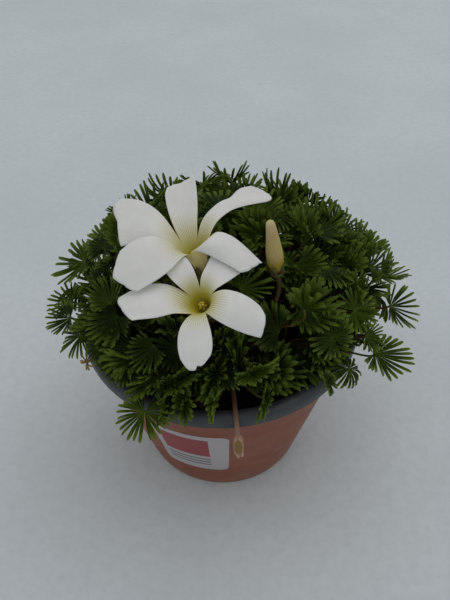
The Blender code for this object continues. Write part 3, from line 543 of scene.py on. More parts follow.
def swept(route, radii, sides, across):
    """Rings of points along a route, turned as little as possible from one to the next."""
    rings = []
    for index, (place, radius) in enumerate(zip(route, radii)):
        ahead = route[min(index + 1, len(route) - 1)] - route[max(index - 1, 0)]
        ahead.normalize()
        across = (across - ahead * across.dot(ahead)).normalized()
        axes = (across, ahead.cross(across))
        rings.append([place + spoke(axes, math.tau * side / sides) * radius for side in range(sides)])
    return rings


def smooth_route(places, per_span):
    """Points on the smooth curve through the given places."""
    ends = [places[0] * 2 - places[1]] + list(places) + [places[-1] * 2 - places[-2]]
    route = []
    for before, start, end, after in zip(ends, ends[1:], ends[2:], ends[3:]):
        control = (start, start + (end - before) / 6, end - (after - start) / 6, end)
        route += [bezier(control, step / per_span) for step in range(per_span)]
    return route + [places[-1]]


def stepped(rows, place):
    """The value at a place, by straight steps between rows of place and value."""
    for (low, first), (high, second) in zip(rows, rows[1:]):
        if place <= high:
            return first + (second - first) * (place - low) / max(1e-9, high - low)
    return rows[-1][1]


def wall_radius(height):
    """The outer radius of the pot's wall at a height."""
    share = height / (POT_HEIGHT - LIP_DROP)
    return BASE_RADIUS + (WALL_TOP_RADIUS - BASE_RADIUS) * share


def soil_radius(height):
    return wall_radius(height) - WALL - CLEARANCE


def soil_height(x, y):
    share = math.hypot(x, y) / soil_radius(SOIL_EDGE)
    return SOIL_EDGE + SOIL_CROWNING * (1 - share * share)


def leaf_axes(leaf):
    across, beside = cross_axes(leaf.facing)
    turn = Matrix.Rotation(leaf.spin, 3, leaf.facing)
    return turn @ across, turn @ beside


def blade_point(leaf, axes, share, angle, offset, length):
    """A point on a leaflet's arc, a share of the way out along it and a little above or below."""
    slope = leaf.bend * share
    if abs(leaf.bend) < 1e-4:
        reach, fall = length * share, 0.0
    else:
        reach = length * math.sin(slope) / leaf.bend
        fall = length * (1 - math.cos(slope)) / leaf.bend
    reach += offset * math.sin(slope)
    level = offset * math.cos(slope) - fall
    return leaf.centre + spoke(axes, angle) * reach + leaf.facing * level


def leaf_shape(leaf, grow=0.0):
    """Points, blade faces and stalk faces of a plain leaf, made thicker all over by grow."""
    axes = leaf_axes(leaf)
    half = LEAF_THICKNESS / 2 + grow
    notch = NOTCH_SHARE + 2.2 * grow / leaf.radius
    length = leaf.radius + 3 * grow
    points = [leaf.centre + leaf.facing * half]
    outlines = []
    for offset in (half, -half):
        outlines.append(list(range(len(points), len(points) + 2 * LEAFLETS)))
        for step in range(2 * LEAFLETS):
            share = notch if step % 2 else 1.0
            points.append(blade_point(leaf, axes, share, math.pi * step / LEAFLETS, offset, length))
    top, bottom = outlines
    blade = []
    for step in range(1, 2 * LEAFLETS, 2):
        ahead, tip = (step + 2) % (2 * LEAFLETS), (step + 1) % (2 * LEAFLETS)
        blade.append((0, top[step], top[ahead]))
        blade.append((top[step], top[tip], top[ahead]))
        blade.append((bottom[step], bottom[ahead], bottom[tip]))
    for step in range(2 * LEAFLETS):
        after = (step + 1) % (2 * LEAFLETS)
        blade.append((bottom[step], bottom[after], top[after], top[step]))

    stalk_radius = STALK_RADIUS + 2 * grow
    route = [bezier(leaf.stalk, step / STALK_STEPS) for step in range(STALK_STEPS + 1)]
    route[0] = leaf.centre - leaf.facing * half
    rings = swept(route[1:], [stalk_radius] * STALK_STEPS, STALK_SIDES, axes[0])
    seat = list(range(len(points), len(points) + STALK_SIDES))
    for side in range(STALK_SIDES):
        points.append(route[0] + spoke(axes, math.tau * side / STALK_SIDES) * stalk_radius)
    blade += ring_between([bottom[i] for i in range(1, 2 * LEAFLETS, 2)], seat)
    stalk, above = [], seat
    for ring in rings:
        below = list(range(len(points), len(points) + STALK_SIDES))
        points += ring_like(points, above, ring)
        stalk += joined_rings(above, below)
        above = below
    stalk.append(tuple(above))
    return points, blade, stalk


def ring_like(points, above, ring):
    """The ring in the order that lies nearest to the ring above, so that the faces between don't twist."""
    orders = []
    for turn in range(len(ring)):
        for way in (1, -1):
            order = [ring[(turn + way * i) % len(ring)] for i in range(len(ring))]
            orders.append((sum((points[a] - p).length for a, p in zip(above, order)), order))
    return min(orders, key=lambda pair: pair[0])[1]


def ring_between(outer, inner):
    """Triangles between an outer ring of many points and an inner ring of few, both in turning order.

    The outer ring's first point lies just past the inner ring's first point.
    """
    faces = []
    used = 0
    for step in range(len(outer)):
        after = (step + 1) % len(outer)
        middle = (step + 1) / len(outer) * len(inner)
        if middle > used + 0.5 and used < len(inner):
            faces.append((outer[step], inner[used % len(inner)], inner[(used + 1) % len(inner)]))
            used += 1
        faces.append((outer[step], inner[used % len(inner)], outer[after]))
    return faces


def crown_places():
    places = []
    for number in range(CROWN_COUNT):
        reach = CROWN_SPREAD * math.sqrt((number + 0.4) / CROWN_COUNT)
        angle = number * GOLDEN_ANGLE + CROWN_TURN
        places.append((reach * math.cos(angle), reach * math.sin(angle) - CROWN_SHIFT))
    return places


def crown_shape(x, y, radius, sides=CROWN_SIDES):
    top = soil_height(x, y)
    profile = (
        (radius, top - CROWN_DEPTH),
        (radius, top + CROWN_RISE * 0.5),
        (radius * 0.6, top + CROWN_RISE),
    )
    return turned(profile, sides, origin=Vector((x, y, 0)))


def stalk_curve(centre, facing, place, rng, loose):
    """The leaf stalk's control points, from the leaf down to its crown at place."""
    x, y = place
    foot = Vector((x, y, soil_height(x, y) + CROWN_RISE * 0.3))
    away = Vector((centre.x - x, centre.y - y, 0))
    away = away.normalized() if away.length > 1e-6 else Vector((1, 0, 0))
    foot += away * STALK_FOOT_OUT * MM
    length = (centre - foot).length
    rise = UP * rng.uniform(*STALK_RISES) + away * rng.uniform(*STALK_LEANS)
    side = Vector((-away.y, away.x, 0)) * rng.uniform(-STALK_SWAY, STALK_SWAY) * (1 + loose)
    inwards = (foot - centre).normalized() * rng.uniform(*STALK_INWARDS)
    back = (-facing * STALK_BACK + inwards).normalized()
    reach = length * rng.uniform(*STALK_REACHES)
    return (centre, centre + back * reach, foot + (rise + side) * length, foot)


def facing_from(bearing, rise):
    flat = math.cos(rise)
    return Vector((math.cos(bearing) * flat, math.sin(bearing) * flat, math.sin(rise)))


def random_way(rng, most):
    return Vector([rng.uniform(-most, most) for _ in range(3)])


def scatter(rng):
    return Vector([rng.gauss(0, 1) for _ in range(3)])


class Placer:
    """Keeps what stands already, and finds each new leaf a place clear of it."""

    def __init__(self, obstacles, crowns):
        self.fixed = obstacles
        self.crowns = crowns
        self.most_at_a_crown = LEAVES_PER_CROWN
        self.crown_trees = []
        for x, y in crowns:
            points, faces = crown_shape(x, y, CROWN_RADIUS)
            self.crown_trees.append(BVHTree.FromPolygons(points, faces))
        self.leaves = []
        self.grown = []

    def is_clear(self, leaf):
        """Whether a plain leaf keeps clear of everything but its own crown and the stalks that share it."""
        if leaf.centre.z < LOWEST_LEAF:
            return False
        points, blade, stalk = leaf_shape(leaf, CLEARANCE)
        blade_tree = BVHTree.FromPolygons(points, blade)
        stalk_tree = BVHTree.FromPolygons(points, stalk)
        if any(tree.overlap(blade_tree) or tree.overlap(stalk_tree) for tree in self.fixed):
            return False
        for number, tree in enumerate(self.crown_trees):
            if tree.overlap(blade_tree):
                return False
            if number != leaf.crown and tree.overlap(stalk_tree):
                return False
        for other, other_blade, other_stalk in self.grown:
            if other_blade.overlap(blade_tree) or other_blade.overlap(stalk_tree):
                return False
            if other_stalk.overlap(blade_tree):
                return False
            if other.crown != leaf.crown and other_stalk.overlap(stalk_tree):
                return False
        return True

    def keep(self, leaf):
        points, blade, stalk = leaf_shape(leaf)
        trees = (BVHTree.FromPolygons(points, blade), BVHTree.FromPolygons(points, stalk))
        self.grown.append((leaf, *trees))
        self.leaves.append(leaf)

    def room_at(self, crown):
        return sum(leaf.crown == crown for leaf in self.leaves) < self.most_at_a_crown

    def near_crowns(self, centre):
        """The crowns with room, nearest first to the point below where the leaf leans from."""
        x, y = centre.x * LEAN_SHARE, centre.y * LEAN_SHARE
        free = [i for i in range(len(self.crowns)) if self.room_at(i)]
        return sorted(free, key=lambda i: math.dist(self.crowns[i], (x, y)))

    def settle(self, centre, facing, radius, bend, rng):
        """Tries a leaf where it is wanted, then a little off, and keeps the first that is clear."""
        crowns = self.near_crowns(centre)
        for attempt in range(TRIES):
            if not crowns:
                return
            loose = attempt / TRIES
            place = centre + scatter(rng) * (SETTLE_SHIFT * loose)
            faces = (facing + scatter(rng) * (SETTLE_TILT * loose)).normalized()
            crown = crowns[attempt % min(CROWNS_TRIED, len(crowns))]
            stalk = stalk_curve(place, faces, self.crowns[crown], rng, loose)
            size = radius * (1 - SETTLE_SHRINK * loose)
            leaf = Leaf(place, faces, size, bend, rng.uniform(0, math.tau), crown, stalk)
            if self.is_clear(leaf):
                self.keep(leaf)
                return

    def squeeze_in(self, centre, facing, radius, bend, fold, rng):
        """Tries a leaf that may touch other leaves, but nothing else and not so near their centres."""
        crowns = self.near_crowns(centre)
        for attempt in range(TRIES):
            loose = attempt / TRIES
            place = centre + scatter(rng) * (INNER_SHIFT * loose)
            if any((leaf.centre - place).length < INNER_SPACING for leaf in self.leaves):
                continue
            crown = crowns[attempt % 2]
            stalk = stalk_curve(place, facing, self.crowns[crown], rng, loose)
            spin = rng.uniform(0, math.tau)
            leaf = Leaf(place, facing, radius, bend, spin, crown, stalk, fold)
            if self.is_free(leaf):
                self.leaves.append(leaf)
                return

    def is_free(self, leaf):
        """Whether a leaf keeps clear of everything but other leaves."""
        points, blade, stalk = leaf_shape(leaf, CLEARANCE)
        tree = BVHTree.FromPolygons(points, blade + stalk)
        if leaf.centre.z < LOWEST_LEAF or any(fixed.overlap(tree) for fixed in self.fixed):
            return False
        return not self.fine_blade_hits(leaf)

    def fine_blade_hits(self, leaf):
        """Whether a spoke of the bent and folded blade runs into anything that stands."""
        axes = fan_axes(leaf)
        for number in range(TESTED_SPOKES):
            angle = math.tau * number / TESTED_SPOKES
            flat = Vector((math.cos(angle), math.sin(angle))) * leaf.radius
            places = [blade_spot(leaf, axes, flat * share) for share in TESTED_SHARES]
            for start, end in zip(places, places[1:]):
                way, length = (end - start).normalized(), (end - start).length
                if any(tree.ray_cast(start, way, length)[0] for tree in self.fixed):
                    return True
        return False


def mound_sites(shells, forms):
    """Where leaves are wanted on the mound: centre, facing, radius and form, the outer shell first."""
    for share, count, smallest, largest in shells:
        for number in range(count):
            rng = random.Random(f"{SEED} site {share} {number}")
            height = (number + 0.5) / count
            rise = math.asin(height ** LOW_LEAF_SHARE)
            bearing = number * GOLDEN_ANGLE + SHELL_TURN * share
            way = facing_from(bearing, rise)
            way += random_way(rng, SITE_TURN)
            spot = MOUND_CENTRE + Vector([w * r * share for w, r in zip(way, MOUND_RADII)])
            facing = way * FACE_OUT + UP * FACE_UP + random_way(rng, FACE_TURN)
            radius = rng.uniform(smallest, largest) * MM
            yield spot, facing.normalized(), radius, rng.choice(forms), rng


def grow_leaves():
    """The leaves of the solids, then the leaves inside the mound."""
    graph = bpy.context.evaluated_depsgraph_get()
    standing = [obj for name, obj in NODES.items() if not name.startswith("leaf_tuft")]
    obstacles = [BVHTree.FromObject(obj, graph) for obj in standing]
    placer = Placer(obstacles, crown_places())
    for number, (x, y, z, radius, bend, bearing, rise) in enumerate(PLACED_LEAVES):
        rng = random.Random(f"{SEED} placed {number}")
        facing = facing_from(math.radians(bearing), math.radians(rise))
        placer.settle(mm((x, y, z)), facing, radius * MM, math.radians(bend), rng)
        if number in PLACED_FOLDS:
            closed = placer.leaves[-1]
            closed.bend = math.radians(CLOSED_BEND)
            closed.fold, closed.turn = (math.radians(angle) for angle in PLACED_FOLDS[number])
    for spot, facing, radius, bend, rng in mound_sites(SHELLS, LEAF_BENDS):
        placer.settle(spot, facing, radius, math.radians(bend), rng)
    outer = list(placer.leaves)
    placer.most_at_a_crown = INNER_LEAVES_PER_CROWN
    for number, (x, y, z, radius, *angles) in enumerate(FOLDED_LEAVES):
        rng = random.Random(f"{SEED} folded {number}")
        bend, bearing, rise, fold, turn = (math.radians(angle) for angle in angles)
        centre, facing = mm((x, y, z)), facing_from(bearing, rise)
        crown = placer.near_crowns(centre)[0]
        stalk = stalk_curve(centre, facing, placer.crowns[crown], rng, 0)
        placer.leaves.append(Leaf(centre, facing, radius * MM, bend, 0, crown, stalk, fold, turn))
    for spot, facing, radius, form, rng in mound_sites(INNER_SHELLS, INNER_FORMS):
        if spot.y < FRONT_EDGE and FRONT_SIDES[0] < spot.x < FRONT_SIDES[1]:
            form = rng.choice(FRONT_FORMS)
            if rng.random() < FRONT_LEFT_OUT:
                continue
        bend, fold = (math.radians(angle) for angle in form)
        facing = (facing + random_way(rng, INNER_TURN)).normalized()
        placer.squeeze_in(spot, facing, radius, bend, fold, rng)
    return outer, placer.leaves[len(outer):]


def withered_leaf(name):
    """A dead leaf's crown place and the leaf itself."""
    place, (x, y, z, radius, bend, bearing, rise) = WITHERED_LEAVES[name]
    crown = (place[0] * MM, place[1] * MM)
    centre = mm((x, y, z))
    facing = facing_from(math.radians(bearing), math.radians(rise))
    foot = Vector((*crown, soil_height(*crown) + CROWN_RISE * 0.3))
    over = Vector(((foot.x + centre.x) / 2, (foot.y + centre.y) / 2, centre.z + 4 * MM))
    stalk = (centre, centre - facing * 3 * MM, over, foot + UP * 6 * MM, foot)
    return crown, Leaf(centre, facing, radius * MM, math.radians(bend), 0, 0, stalk)


class Shape:
    """Points and faces in the making. Each point has a mark of three numbers, which its material reads."""

    def __init__(self):
        self.points = []
        self.marks = []
        self.faces = []
        self.kinds = []

    def ring(self, points, mark=NO_MARK):
        """Adds points that share one mark, or have one each, and gives their numbers."""
        first = len(self.points)
        self.points += points
        self.marks += mark if isinstance(mark, list) else [mark] * len(points)
        return list(range(first, len(self.points)))

    def face(self, corners, kind=0):
        self.faces.append(tuple(corners))
        self.kinds.append(kind)

    def join(self, low, high, kind=0):
        for corners in joined_rings(low, high):
            self.face(corners, kind)

    def strip(self, low, high):
        """Faces between two open rows of points."""
        for corners in zip(low, low[1:], high[1:], high):
            self.face(corners)

    def solid(self, points, faces, mark=NO_MARK, kind=0):
        numbers = self.ring(points, mark)
        for corners in faces:
            self.face([numbers[i] for i in corners], kind)

    def loft(self, rings, marks, kind=0):
        """A closed body through rings of points, with a mark or a list of marks for each ring."""
        numbers = [self.ring(ring, mark) for ring, mark in zip(rings, marks)]
        for low, high in zip(numbers, numbers[1:]):
            self.join(low, high, kind)
        self.face(numbers[0], kind)
        self.face(numbers[-1], kind)

    def tube(self, route, radii, sides, marks, kind=0):
        self.loft(swept(route, radii, sides, Vector((1, 0, 0))), marks, kind)

    def hair(self, foot, way, length, tone, kind):
        """A three-sided point."""
        axes, mark = cross_axes(way), (0.5, 1.0, tone)
        base = self.ring([foot + spoke(axes, math.tau * side / 3) * HAIR_WIDTH for side in range(3)], mark)
        self.join(base, self.ring([foot + way * length], mark), kind)
        self.face(base, kind)

    def level_ring(self, last, radius, sides, height, kind=0):
        """Adds a ring round the pot's axis, at a height or a function's heights, and joins it to the last."""
        ring = []
        for side in range(sides if radius > 0 else 1):
            angle = math.tau * side / sides
            x, y = radius * math.cos(angle), radius * math.sin(angle)
            ring.append(Vector((x, y, height(x, y) if callable(height) else height)))
        numbers = self.ring(ring)
        if last:
            self.join(last, numbers, kind)
        return numbers

    def make(self, name, materials, sharp_degrees=LEAF_EDGES, outwards=True):
        """The finished object, with its faces turned outwards unless it is an open surface."""
        mesh = bpy.data.meshes.new(name)
        mesh.from_pydata([tuple(p) for p in self.points], [], self.faces)
        mesh.polygons.foreach_set("material_index", self.kinds)
        marks = mesh.attributes.new("mark", "FLOAT_VECTOR", "POINT")
        marks.data.foreach_set("vector", [number for mark in self.marks for number in mark])
        if outwards:
            edit = bmesh.new()
            edit.from_mesh(mesh)
            bmesh.ops.recalc_face_normals(edit, faces=edit.faces)
            edit.to_mesh(mesh)
            edit.free()
        for material in materials:
            mesh.materials.append(material)
        mesh.shade_smooth()
        mesh.set_sharp_from_angle(angle=math.radians(sharp_degrees))
        obj = bpy.data.objects.new(name, mesh)
        bpy.context.scene.collection.objects.link(obj)
        return obj


def dress(obj, slot, *nodes):
    """Sets a finished piece on the body, in place of its solids."""
    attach(obj, BODY)
    if nodes:
        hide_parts(*nodes)


def keep_evaluated(obj):
    """Replaces an object's mesh by what its modifiers make of it."""
    graph = bpy.context.evaluated_depsgraph_get()
    made = bpy.data.meshes.new_from_object(obj.evaluated_get(graph), depsgraph=graph)
    obj.modifiers.clear()
    obj.data = made


def thicken(obj, thickness, offset, back=0):
    """Gives a surface its thickness. On its other side, a material comes back places later in the list."""
    shell = obj.modifiers.new("thickness", "SOLIDIFY")
    shell.thickness = thickness
    shell.offset = offset
    shell.material_offset = back
    keep_evaluated(obj)


class Finish:
    """A material in the making, with short calls for its nodes."""

    def __init__(self, name, roughness, specular=0.5, **fixed):
        self.material = bpy.data.materials.new(name)
        self.material.use_nodes = True
        self.tree = self.material.node_tree
        self.shader = self.tree.nodes["Principled BSDF"]
        fixed.update(Roughness=roughness, Specular_IOR_Level=specular)
        for socket, value in fixed.items():
            self.shader.inputs[socket.replace("_", " ")].default_value = value
        self.place = self.node("ShaderNodeTexCoord", {}).outputs["Object"]

    def node(self, kind, inputs, **settings):
        """Adds a node with its settings, and with what goes into each named or numbered input."""
        node = self.tree.nodes.new(kind)
        for name, value in settings.items():
            setattr(node, name, value)
        for name, value in inputs.items():
            self.put(value, node.inputs[name])
        return node

    def put(self, value, socket):
        """Links an output to a socket, or sets the socket's own value."""
        if isinstance(value, bpy.types.NodeSocket):
            self.tree.links.new(value, socket)
        elif socket.type == "RGBA":
            socket.default_value = (*value, 1)
        else:
            socket.default_value = value

    def split(self, vector):
        return tuple(self.node("ShaderNodeSeparateXYZ", {0: vector}).outputs)

    def mark(self):
        """The three numbers that the mesh holds at each point."""
        return self.split(self.node("ShaderNodeAttribute", {}, attribute_name="mark").outputs["Vector"])

    def maths(self, operation, *values):
        return self.node("ShaderNodeMath", dict(enumerate(values)), operation=operation).outputs[0]

    def noise(self, scale, detail=4.0, place=None):
        inputs = {"Vector": place or self.place, "Scale": scale, "Detail": detail, "Roughness": 0.6}
        return self.node("ShaderNodeTexNoise", inputs).outputs[0]

    def mapped(self, scale, location=(0, 0, 0)):
        """The object's places, scaled along the axes and moved."""
        inputs = {"Vector": self.place, "Scale": scale, "Location": location}
        return self.node("ShaderNodeMapping", inputs).outputs[0]

    def mound_share(self):
        """How far out in the mound a place is: 1 at the outer shell of leaves. The leaves' painted shade
        follows it.
        """
        scale = tuple(1 / radius for radius in MOUND_RADII)
        location = tuple(-place / radius for place, radius in zip(MOUND_CENTRE, MOUND_RADII))
        inputs = {0: self.mapped(scale, location)}
        return self.node("ShaderNodeVectorMath", inputs, operation="LENGTH").outputs["Value"]

    def under_shade_share(self):
        """How deep a place is in the painted shade under the leaves: 1 low down and inside the lip."""
        x, y, z = self.split(self.place)
        square = self.maths("ADD", self.maths("MULTIPLY", x, x), self.maths("MULTIPLY", y, y))
        inside = self.between(self.maths("SQRT", square), *SHADE_RADII)
        return self.maths("MULTIPLY", inside, self.between(z, *SHADE_HEIGHTS))

    def between(self, value, start, end, low=0.0, high=1.0):
        """A smooth step from low to high, as the value goes from start to end."""
        sockets = ("Value", "From Min", "From Max", "To Min", "To Max")
        inputs = dict(zip(sockets, (value, start, end, low, high)))
        return self.node("ShaderNodeMapRange", inputs, interpolation_type="SMOOTHSTEP").outputs[0]

    def within(self, value, low, high):
        """One between low and high, and nothing elsewhere."""
        above = self.maths("GREATER_THAN", value, low)
        return self.maths("MULTIPLY", above, self.maths("LESS_THAN", value, high))

    def mix(self, share, first, second):
        inputs = {0: share, MIX_A: first, MIX_B: second}
        return self.node("ShaderNodeMix", inputs, data_type="RGBA").outputs[MIX_COLOUR]

    def tint(self, colour, tone, value, start, end, most=1.0):
        """Turns a colour towards a tone, as the value goes from start to end."""
        return self.mix(self.between(value, start, end, 0.0, most), colour, tone)

    def roughness(self, value):
        self.put(value, self.shader.inputs["Roughness"])

    def finished(self, colour, height, strength, distance):
        """The material with its colour and a bump, as strong and as deep in millimetres as given."""
        self.put(colour, self.shader.inputs["Base Color"])
        inputs = {"Strength": strength, "Distance": distance * MM, "Height": height}
        self.put(self.node("ShaderNodeBump", inputs).outputs[0], self.shader.inputs["Normal"])
        return self.material


def leaf_finish():
    """Green leaflets: yellower at the hub, paler at their edges and tips, with painted shade deep in the
    mound and low inside the lip.
    """
    finish = Finish("leaf_blade", 0.5, 0.12)
    along, across, tone = finish.mark()
    green = finish.mix(tone, (0.01, 0.024, 0.0), (0.041, 0.071, 0.0))
    green = finish.tint(green, (0.075, 0.12, 0.008), along, 0.3, 0.0, 0.5)
    green = finish.tint(green, (0.009, 0.022, 0.001), finish.noise(900), 0.35, 0.75, 0.4)
    green = finish.tint(green, (0.09, 0.14, 0.006), across, 0.7, 1.0, 0.4)
    green = finish.tint(green, (0.155, 0.225, 0.03), along, 0.55, 1.0, 0.7)
    # Painted shade: the leaves turn darker deeper inside the mound, where little light reaches.
    green = finish.tint(green, (0.006, 0.012, 0.001), finish.mound_share(), 0.95, 0.6, 0.6)
    # Painted shade under the leaves: low down and inside the lip they are mixed towards near black.
    under = finish.maths("MULTIPLY", finish.under_shade_share(), 0.65)
    green = finish.mix(under, green, (0.005, 0.009, 0.001))
    return finish.finished(green, finish.noise(1500), 0.3, 0.1)


def leaf_stalk_finish():
    """Leaf stalks: reddish brown near the soil, green under the leaf, some redder than others."""
    finish = Finish("leaf_stalk", 0.55, 0.15)
    along, redness, tone = finish.mark()
    green = finish.mix(tone, (0.05, 0.08, 0.008), (0.08, 0.1, 0.015))
    red = finish.mix(finish.noise(300), (0.09, 0.03, 0.01), (0.16, 0.065, 0.02))
    colour = finish.tint(green, red, finish.maths("ADD", along, redness), 0.9, 0.35)
    return finish.finished(colour, finish.noise(1200), 0.3, 0.1)


def plain_finish(name, dark, pale, roughness, scale=700, strength=0.4):
    """A finish of one colour that varies a little, with a fine uneven surface."""
    finish = Finish(name, roughness)
    colour = finish.tint(dark, pale, finish.noise(scale), 0.3, 0.7)
    return finish.finished(colour, finish.noise(scale * 2), strength, 0.15)


def petal_finish(name, inside):
    """White petals that turn yellow-green in the throat, or cream on the funnel's back, with fine veins."""
    finish = Finish(name, 0.6, 0.12, Subsurface_Weight=0.15, Subsurface_Scale=1.0 * MM)
    finish.shader.inputs["Subsurface Radius"].default_value = (1.0, 0.9, 0.7)
    along, across, _ = finish.mark()
    waver = finish.maths("MULTIPLY", finish.noise(110), 0.12)
    lines = finish.maths("SINE", finish.maths("MULTIPLY", finish.maths("ADD", across, waver), 37.0))
    colour = finish.tint((0.81, 0.785, 0.745), (0.87, 0.85, 0.81), finish.noise(120), 0.3, 0.7)
    reach = finish.maths("ADD", along, finish.maths("MULTIPLY", lines, -0.04))
    if inside:
        colour = finish.tint(colour, (0.63, 0.57, 0.24), reach, 0.38, 0.1, 0.55)
        colour = finish.tint(colour, (0.5, 0.44, 0.04), reach, 0.22, -0.05)
        colour = finish.tint(colour, (0.75, 0.58, 0.03), along, -0.2, -0.5)
        shown = finish.between(along, 0.36, 0.03, 0.0, 0.55)
        veins = finish.maths("MULTIPLY", finish.between(lines, 0.55, 1.0), shown)
        colour = finish.mix(veins, colour, (0.24, 0.21, 0.05))
    else:
        cream = finish.mix(finish.noise(260), (0.8, 0.66, 0.26), (0.88, 0.76, 0.38))
        colour = finish.tint(colour, cream, reach, 0.6, 0.2)
        colour = finish.tint(colour, (0.36, 0.22, 0.05), along, -0.2, -0.7)
    return finish.finished(colour, lines, 0.15, 0.05)


def bud_finish():
    """The bud: olive at its base, cream with a pink flush in the middle, paler at its tip."""
    finish = Finish("bud", 0.5, 0.15, Subsurface_Weight=0.1, Subsurface_Scale=1.0 * MM)
    along, across, _ = finish.mark()
    colour = finish.mix(finish.noise(350), (0.45, 0.36, 0.12), (0.54, 0.44, 0.17))
    colour = finish.tint(colour, (0.52, 0.33, 0.18), finish.noise(160), 0.4, 0.65, 0.7)
    colour = finish.tint(colour, (0.31, 0.25, 0.02), along, 0.42, 0.16)
    colour = finish.tint(colour, (0.2, 0.16, 0.012), along, 0.16, 0.0)
    colour = finish.tint(colour, (0.6, 0.52, 0.28), along, 0.75, 1.0, 0.8)
    colour = finish.tint(colour, (0.34, 0.22, 0.08), across, 0.86, 1.0, 0.3)
    return finish.finished(colour, finish.noise(600, place=finish.mapped((1, 1, 0.2))), 0.25, 0.1)


def flower_stalk_finish():
    """Flower stalks and sepals: brown below, green above, with reddish edges."""
    finish = Finish("flower_stalk", 0.55, 0.35)
    along, across, tone = finish.mark()
    brown = finish.mix(finish.noise(260), (0.05, 0.025, 0.01), (0.09, 0.055, 0.015))
    green = finish.mix(tone, (0.08, 0.11, 0.02), (0.15, 0.13, 0.04))
    colour = finish.tint(brown, green, along, 0.3, 0.6)
    colour = finish.tint(colour, (0.16, 0.07, 0.035), across, 0.7, 1.0, 0.4)
    return finish.finished(colour, finish.noise(1100), 0.3, 0.1)


def withered_finish():
    """Dry brown tissue, paler along its ribs, on a redder stalk."""
    finish = Finish("withered", 0.75, 0.15)
    along, across, _ = finish.mark()
    colour = finish.mix(finish.noise(350), (0.22, 0.13, 0.05), (0.42, 0.32, 0.16))
    colour = finish.tint(colour, (0.55, 0.46, 0.28), across, 0.35, 0.0, 0.5)
    colour = finish.tint(colour, (0.3, 0.13, 0.035), along, 0.0, -0.3)
    return finish.finished(colour, finish.noise(900), 0.5, 0.2)


def spent_finish():
    """The spent flower: a brown stalk, paler towards the husk, whose ribs are pink and its hollows olive."""
    finish = Finish("spent", 0.7, 0.15)
    along, oval, hollow = finish.mark()
    pink = finish.tint((0.56, 0.34, 0.25), (0.36, 0.19, 0.12), hollow, 0.2, 0.9)
    olive = finish.mix(finish.noise(500), (0.2, 0.12, 0.04), (0.3, 0.2, 0.07))
    husk = finish.tint(pink, olive, oval, 1.1, 0.8)
    stalk = finish.tint((0.1, 0.045, 0.028), (0.32, 0.19, 0.13), along, -0.72, -0.5)
    return finish.finished(finish.tint(stalk, husk, along, 0.02, 0.18), finish.noise(900), 0.5, 0.2)


def pot_wall_finish():
    """Terracotta-coloured plastic, a little dusty, with faint moulding lines."""
    finish = Finish("pot_wall", 0.5, 0.25)
    clay = finish.tint((0.235, 0.07, 0.036), (0.275, 0.092, 0.05), finish.noise(60), 0.3, 0.7)
    dust = finish.between(finish.noise(25, detail=8), 0.5, 0.8, 0.0, 0.35)
    height = finish.split(finish.place)[2]
    soiled = finish.between(height, 12 * MM, 0.0, 0.0, 0.35)
    clay = finish.mix(finish.maths("ADD", dust, soiled), clay, (0.3, 0.18, 0.13))
    finish.roughness(finish.between(finish.noise(140), 0.2, 0.8, 0.42, 0.6))
    return finish.finished(clay, finish.noise(400, place=finish.mapped((0.3, 0.3, 3))), 0.12, 0.1)


def pot_lip_finish():
    """Dark slate plastic, with dust in its scratches."""
    finish = Finish("pot_lip", 0.45, 0.5)
    slate = finish.mix(finish.noise(80), (0.03, 0.034, 0.04), (0.043, 0.048, 0.055))
    slate = finish.tint(slate, (0.1, 0.095, 0.085), finish.noise(220, detail=8), 0.55, 0.8, 0.5)
    finish.roughness(finish.between(finish.noise(160), 0.2, 0.8, 0.36, 0.6))
    return finish.finished(slate, finish.noise(700), 0.15, 0.1)


def label_finish():
    """White paper with one muted red block and a few thin grey rules."""
    finish = Finish("panel_paper", 0.4, 0.45)
    across, up, _ = finish.mark()
    colour = finish.mix(finish.noise(120), (0.42, 0.38, 0.38), (0.48, 0.44, 0.44))
    inside = finish.within(across, 0.1, 0.74)
    rows = [(0.42, 0.9, (0.28, 0.03, 0.035))]
    rows += [(low, low + 0.03, (0.08, 0.08, 0.085)) for low in (0.31, 0.23, 0.15)]
    for low, high, tone in rows:
        colour = finish.mix(finish.maths("MULTIPLY", inside, finish.within(up, low, high)), colour, tone)
    finish.put(colour, finish.shader.inputs["Base Color"])
    return finish.material


def soil_finish():
    finish = Finish("soil", 0.95, 0.2)
    crumb = finish.noise(500, detail=8)
    colour = finish.tint((0.004, 0.003, 0.002), (0.022, 0.016, 0.01), crumb, 0.3, 0.75)
    return finish.finished(colour, finish.noise(900, detail=8), 0.9, 0.5)


def floor_finish():
    """A pale, faintly uneven ground."""
    finish = Finish("ground", 0.9, 0.1)
    cloud = finish.noise(9, detail=6)
    pale = finish.tint((0.65, 0.69, 0.705), (0.71, 0.75, 0.765), cloud, 0.3, 0.7)
    pale = finish.tint(pale, (0.57, 0.6, 0.615), finish.noise(260, detail=8), 0.35, 0.7, 0.35)
    return finish.finished(pale, finish.noise(300, detail=8), 0.35, 0.5)


def fan_axes(leaf):
    """Two directions along the blade: towards its stalk's foot, where the fan is open, and beside that."""
    inward = leaf.stalk[-1] - leaf.centre
    inward = (inward - leaf.facing * inward.dot(leaf.facing)).normalized()
    inward = Matrix.Rotation(leaf.turn, 3, leaf.facing) @ inward
    return inward, leaf.facing.cross(inward)


def blade_spot(leaf, axes, flat):
    """Where a point of the flat disc comes to lie on the bent and folded blade."""
    slope = leaf.bend * flat.length / leaf.radius
    shrink, fall = 1.0, 0.0
    if abs(slope) > 1e-4:
        shrink = math.sin(slope) / slope
        fall = flat.length * (1 - math.cos(slope)) / slope
    beside = flat.y * shrink
    height = abs(beside) * math.sin(leaf.fold) - fall
    across = beside * math.cos(leaf.fold)
    return leaf.centre + axes[0] * (flat.x * shrink) + axes[1] * across + leaf.facing * height


